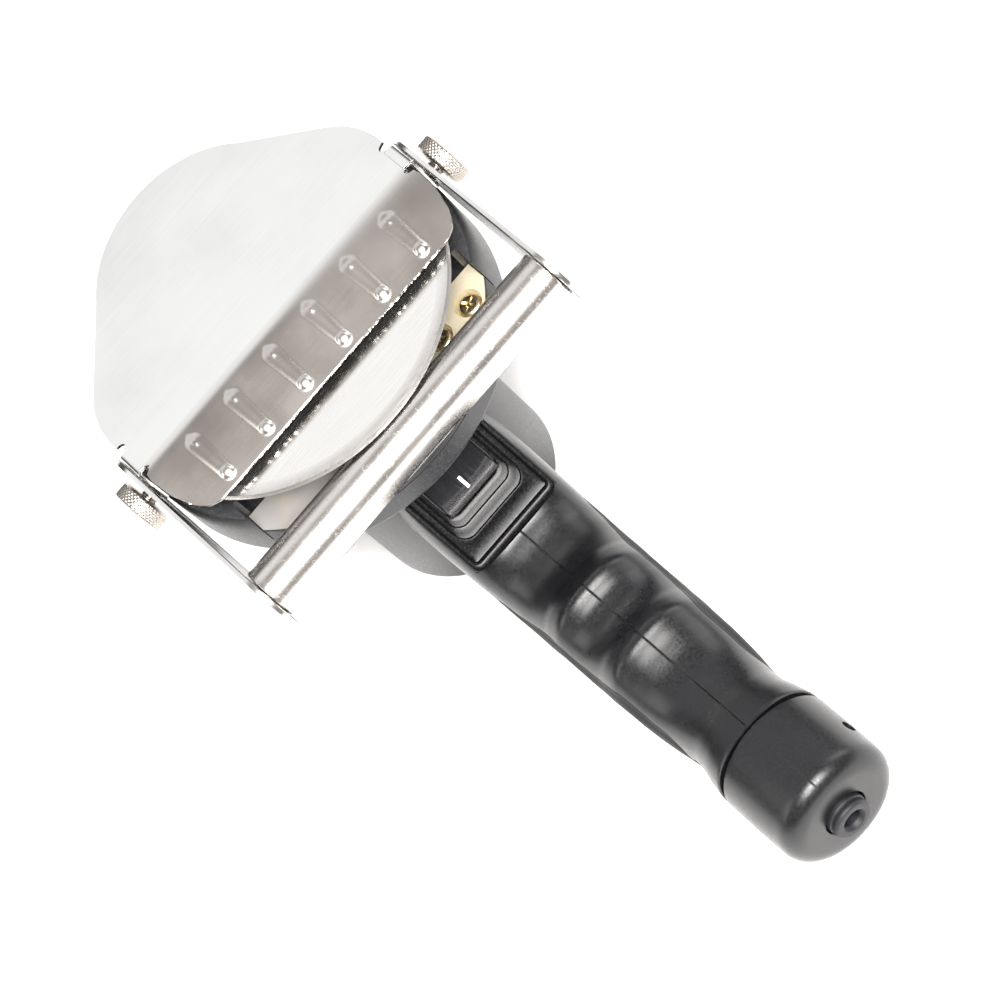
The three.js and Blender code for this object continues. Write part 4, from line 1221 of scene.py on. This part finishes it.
def dress_inside():
    """Finishes for the parts inside the shells, which keep their solids."""
    dress("steel", "front_bearing", "rear_bearing", "nose_bearing", "tail_bearing",
          "motor_shaft", "pinion")
    dress("soft", "seal_ring")
    dress("laminations", "armature", "stator")
    dress("copper", "commutator")
    dress("nylon", "fan")
    dress("winding", "field_coil_right", "field_coil_left")
    dress("resin", "brush_holder_right", "brush_holder_left", "switch_body", "cord_clamp")
    dress("carbon", "brush_right", "brush_left")
    dress("board", "control_board")


# ------------------------------------------------------------ stage
def build_stage():
    """Pale floor, soft lights, bright surroundings and the camera."""
    scene = bpy.context.scene
    mesh = bpy.data.meshes.new("floor")
    size = 4.0
    mesh.from_pydata([(-size, -size, 0), (size, -size, 0), (size, size, 0), (-size, size, 0)],
                     [], [(0, 1, 2, 3)])
    floor = bpy.data.objects.new("floor", mesh)
    scene.collection.objects.link(floor)
    f = Finish("pale_floor", (0.92, 0.92, 0.92), 0.85)
    grain = f.noise(9, 3.0)
    f.feed("Base Color", f.blend(f.between(grain, 0.3, 0.7), (0.93, 0.93, 0.93), (0.90, 0.90, 0.90)))
    mesh.materials.append(f.material)

    world = bpy.data.worlds.new("surroundings")
    scene.world = world
    world.use_nodes = True
    sky = Nodes(world.node_tree)
    ray = sky.node("ShaderNodeTexCoord", {}, {}, "Generated")
    y, z = [sky.node("ShaderNodeSeparateXYZ", {}, {0: ray}, axis) for axis in (1, 2)]
    climb = z.math("ARCTAN2", z, y) / math.pi
    stops = [(place, (level, level * (0.9 + 0.1 * level), level * (0.82 + 0.18 * level), 1.0))
             for place, level in ((0.0, 0.08), (0.17, 0.08), (0.25, 1.12), (0.36, 1.12), (0.42, 0.34),
                                  (0.56, 0.28), (0.63, 0.60), (0.74, 0.28), (1.0, 0.25))]
    shade = sky.node("ShaderNodeValToRGB", {"stops": stops}, {"Fac": climb})
    backdrop = world.node_tree.nodes["Background"]
    world.node_tree.links.new(shade.socket, backdrop.inputs["Color"])

    aim = Vector((0.0, -0.01, 0.06))
    for name, spot, width, height, power in (
        ("key_box", (0.0, -0.70, 1.16), 0.90, 0.58, 54.0),
        ("left_box", (-1.2, 0.25, 0.8), 0.5, 0.9, 4.0),
        ("right_box", (1.25, 0.1, 0.7), 0.5, 0.9, 5.0),
    ):
        lamp = bpy.data.lights.new(name, "AREA")
        lamp.shape = "RECTANGLE"
        lamp.size, lamp.size_y, lamp.energy = width, height, power
        lamp.color = (1.0, 0.985, 0.965)
        holder = bpy.data.objects.new(name, lamp)
        holder.location = spot
        holder.rotation_euler = (aim - Vector(spot)).to_track_quat("-Z", "Y").to_euler()
        scene.collection.objects.link(holder)

    view = bpy.data.cameras.new("camera")
    view.sensor_width = 36.0
    view.lens = 144.0
    view.clip_start, view.clip_end = 0.05, 20.0
    camera = bpy.data.objects.new("camera", view)
    across = Vector((0.6557, -0.6159, -0.4367))
    down = Vector((-0.755, -0.531, -0.3846))
    ahead = across.cross(down).normalized()
    down = ahead.cross(across).normalized()
    axes = Matrix((across.normalized(), -down, -ahead)).transposed().to_4x4()
    camera.matrix_world = Matrix.Translation(at(-2.48, -638.28, 765.92)) @ axes
    scene.collection.objects.link(camera)
    scene.camera = camera
    scene.view_settings.view_transform = "Standard"


# ------------------------------------------------------------ operators and panel
class SLICER_OT_stage(bpy.types.Operator):
    """Add the floor, lights, surroundings and camera"""

    bl_idname = "slicer.stage"
    bl_label = "Stage"

    def execute(self, context):
        build_stage()
        return {"FINISHED"}


class SLICER_OT_guide_sheet(bpy.types.Operator):
    """Build the pressed guide plate with its ears"""

    bl_idname = "slicer.guide_sheet"
    bl_label = "Guide plate"

    def execute(self, context):
        build_guide_sheet()
        return {"FINISHED"}


class SLICER_OT_thumb_screws(bpy.types.Operator):
    """Build the two knurled thumb screws"""

    bl_idname = "slicer.thumb_screws"
    bl_label = "Thumb screws"

    def execute(self, context):
        build_thumb_screws()
        return {"FINISHED"}


class SLICER_OT_guard_frame(bpy.types.Operator):
    """Build the guard arms, tube, plugs and flush screws"""

    bl_idname = "slicer.guard_frame"
    bl_label = "Guard frame"

    def execute(self, context):
        build_guard_frame()
        return {"FINISHED"}


class SLICER_OT_blade(bpy.types.Operator):
    """Build the round blade with its nut and washer"""

    bl_idname = "slicer.blade"
    bl_label = "Blade"

    def execute(self, context):
        build_blade()
        return {"FINISHED"}


class SLICER_OT_gear_head(bpy.types.Operator):
    """Build the cast gear head and its lid"""

    bl_idname = "slicer.gear_head"
    bl_label = "Gear head"

    def execute(self, context):
        build_gear_head()
        return {"FINISHED"}


class SLICER_OT_mount_pad(bpy.types.Operator):
    """Build the machined pad and its cross-headed screws"""

    bl_idname = "slicer.mount_pad"
    bl_label = "Mounting pad"

    def execute(self, context):
        build_mount_pad()
        return {"FINISHED"}


class SLICER_OT_shells(bpy.types.Operator):
    """Build the barrel and grip halves, rubber panels and shell screws"""

    bl_idname = "slicer.shells"
    bl_label = "Grip shells"

    def execute(self, context):
        build_shells()
        return {"FINISHED"}


class SLICER_OT_switch(bpy.types.Operator):
    """Build the stepped bezel and the rocker"""

    bl_idname = "slicer.switch"
    bl_label = "Switch"

    def execute(self, context):
        build_switch()
        return {"FINISHED"}


class SLICER_OT_end_cap(bpy.types.Operator):
    """Build the end cap and the cord gland"""

    bl_idname = "slicer.end_cap"
    bl_label = "End cap"

    def execute(self, context):
        build_end_cap()
        return {"FINISHED"}


class SLICER_OT_inside(bpy.types.Operator):
    """Give the motor, bearings and switch parts their finishes"""

    bl_idname = "slicer.inside"
    bl_label = "Inside parts"

    def execute(self, context):
        dress_inside()
        return {"FINISHED"}


OPERATORS = (
    SLICER_OT_stage, SLICER_OT_guide_sheet, SLICER_OT_thumb_screws, SLICER_OT_guard_frame,
    SLICER_OT_blade, SLICER_OT_gear_head, SLICER_OT_mount_pad, SLICER_OT_shells,
    SLICER_OT_switch, SLICER_OT_end_cap, SLICER_OT_inside,
)


class SLICER_PT_pieces(bpy.types.Panel):
    """Lists the settings and the pieces to build"""

    bl_idname = "SLICER_PT_pieces"
    bl_label = "Kebab slicer"
    bl_space_type = "VIEW_3D"
    bl_region_type = "UI"
    bl_category = "Slicer"

    def draw(self, context):
        for group in (context.scene.slicer_sizes, context.scene.slicer_colours):
            box = self.layout.box()
            for setting in group.__annotations__:
                box.prop(group, setting)
        for entry in OPERATORS:
            self.layout.operator(entry.bl_idname)


CLASSES = (SlicerSizes, SlicerColours, *OPERATORS, SLICER_PT_pieces)


def register():
    for entry in CLASSES:
        bpy.utils.register_class(entry)
    bpy.types.Scene.slicer_sizes = PointerProperty(type=SlicerSizes)
    bpy.types.Scene.slicer_colours = PointerProperty(type=SlicerColours)


def unregister():
    del bpy.types.Scene.slicer_colours
    del bpy.types.Scene.slicer_sizes
    for entry in reversed(CLASSES):
        bpy.utils.unregister_class(entry)


def main():
    register()
    for entry in OPERATORS:
        group, name = entry.bl_idname.split(".")
        getattr(getattr(bpy.ops, group), name)()


if __name__ == "__main__":
    main()
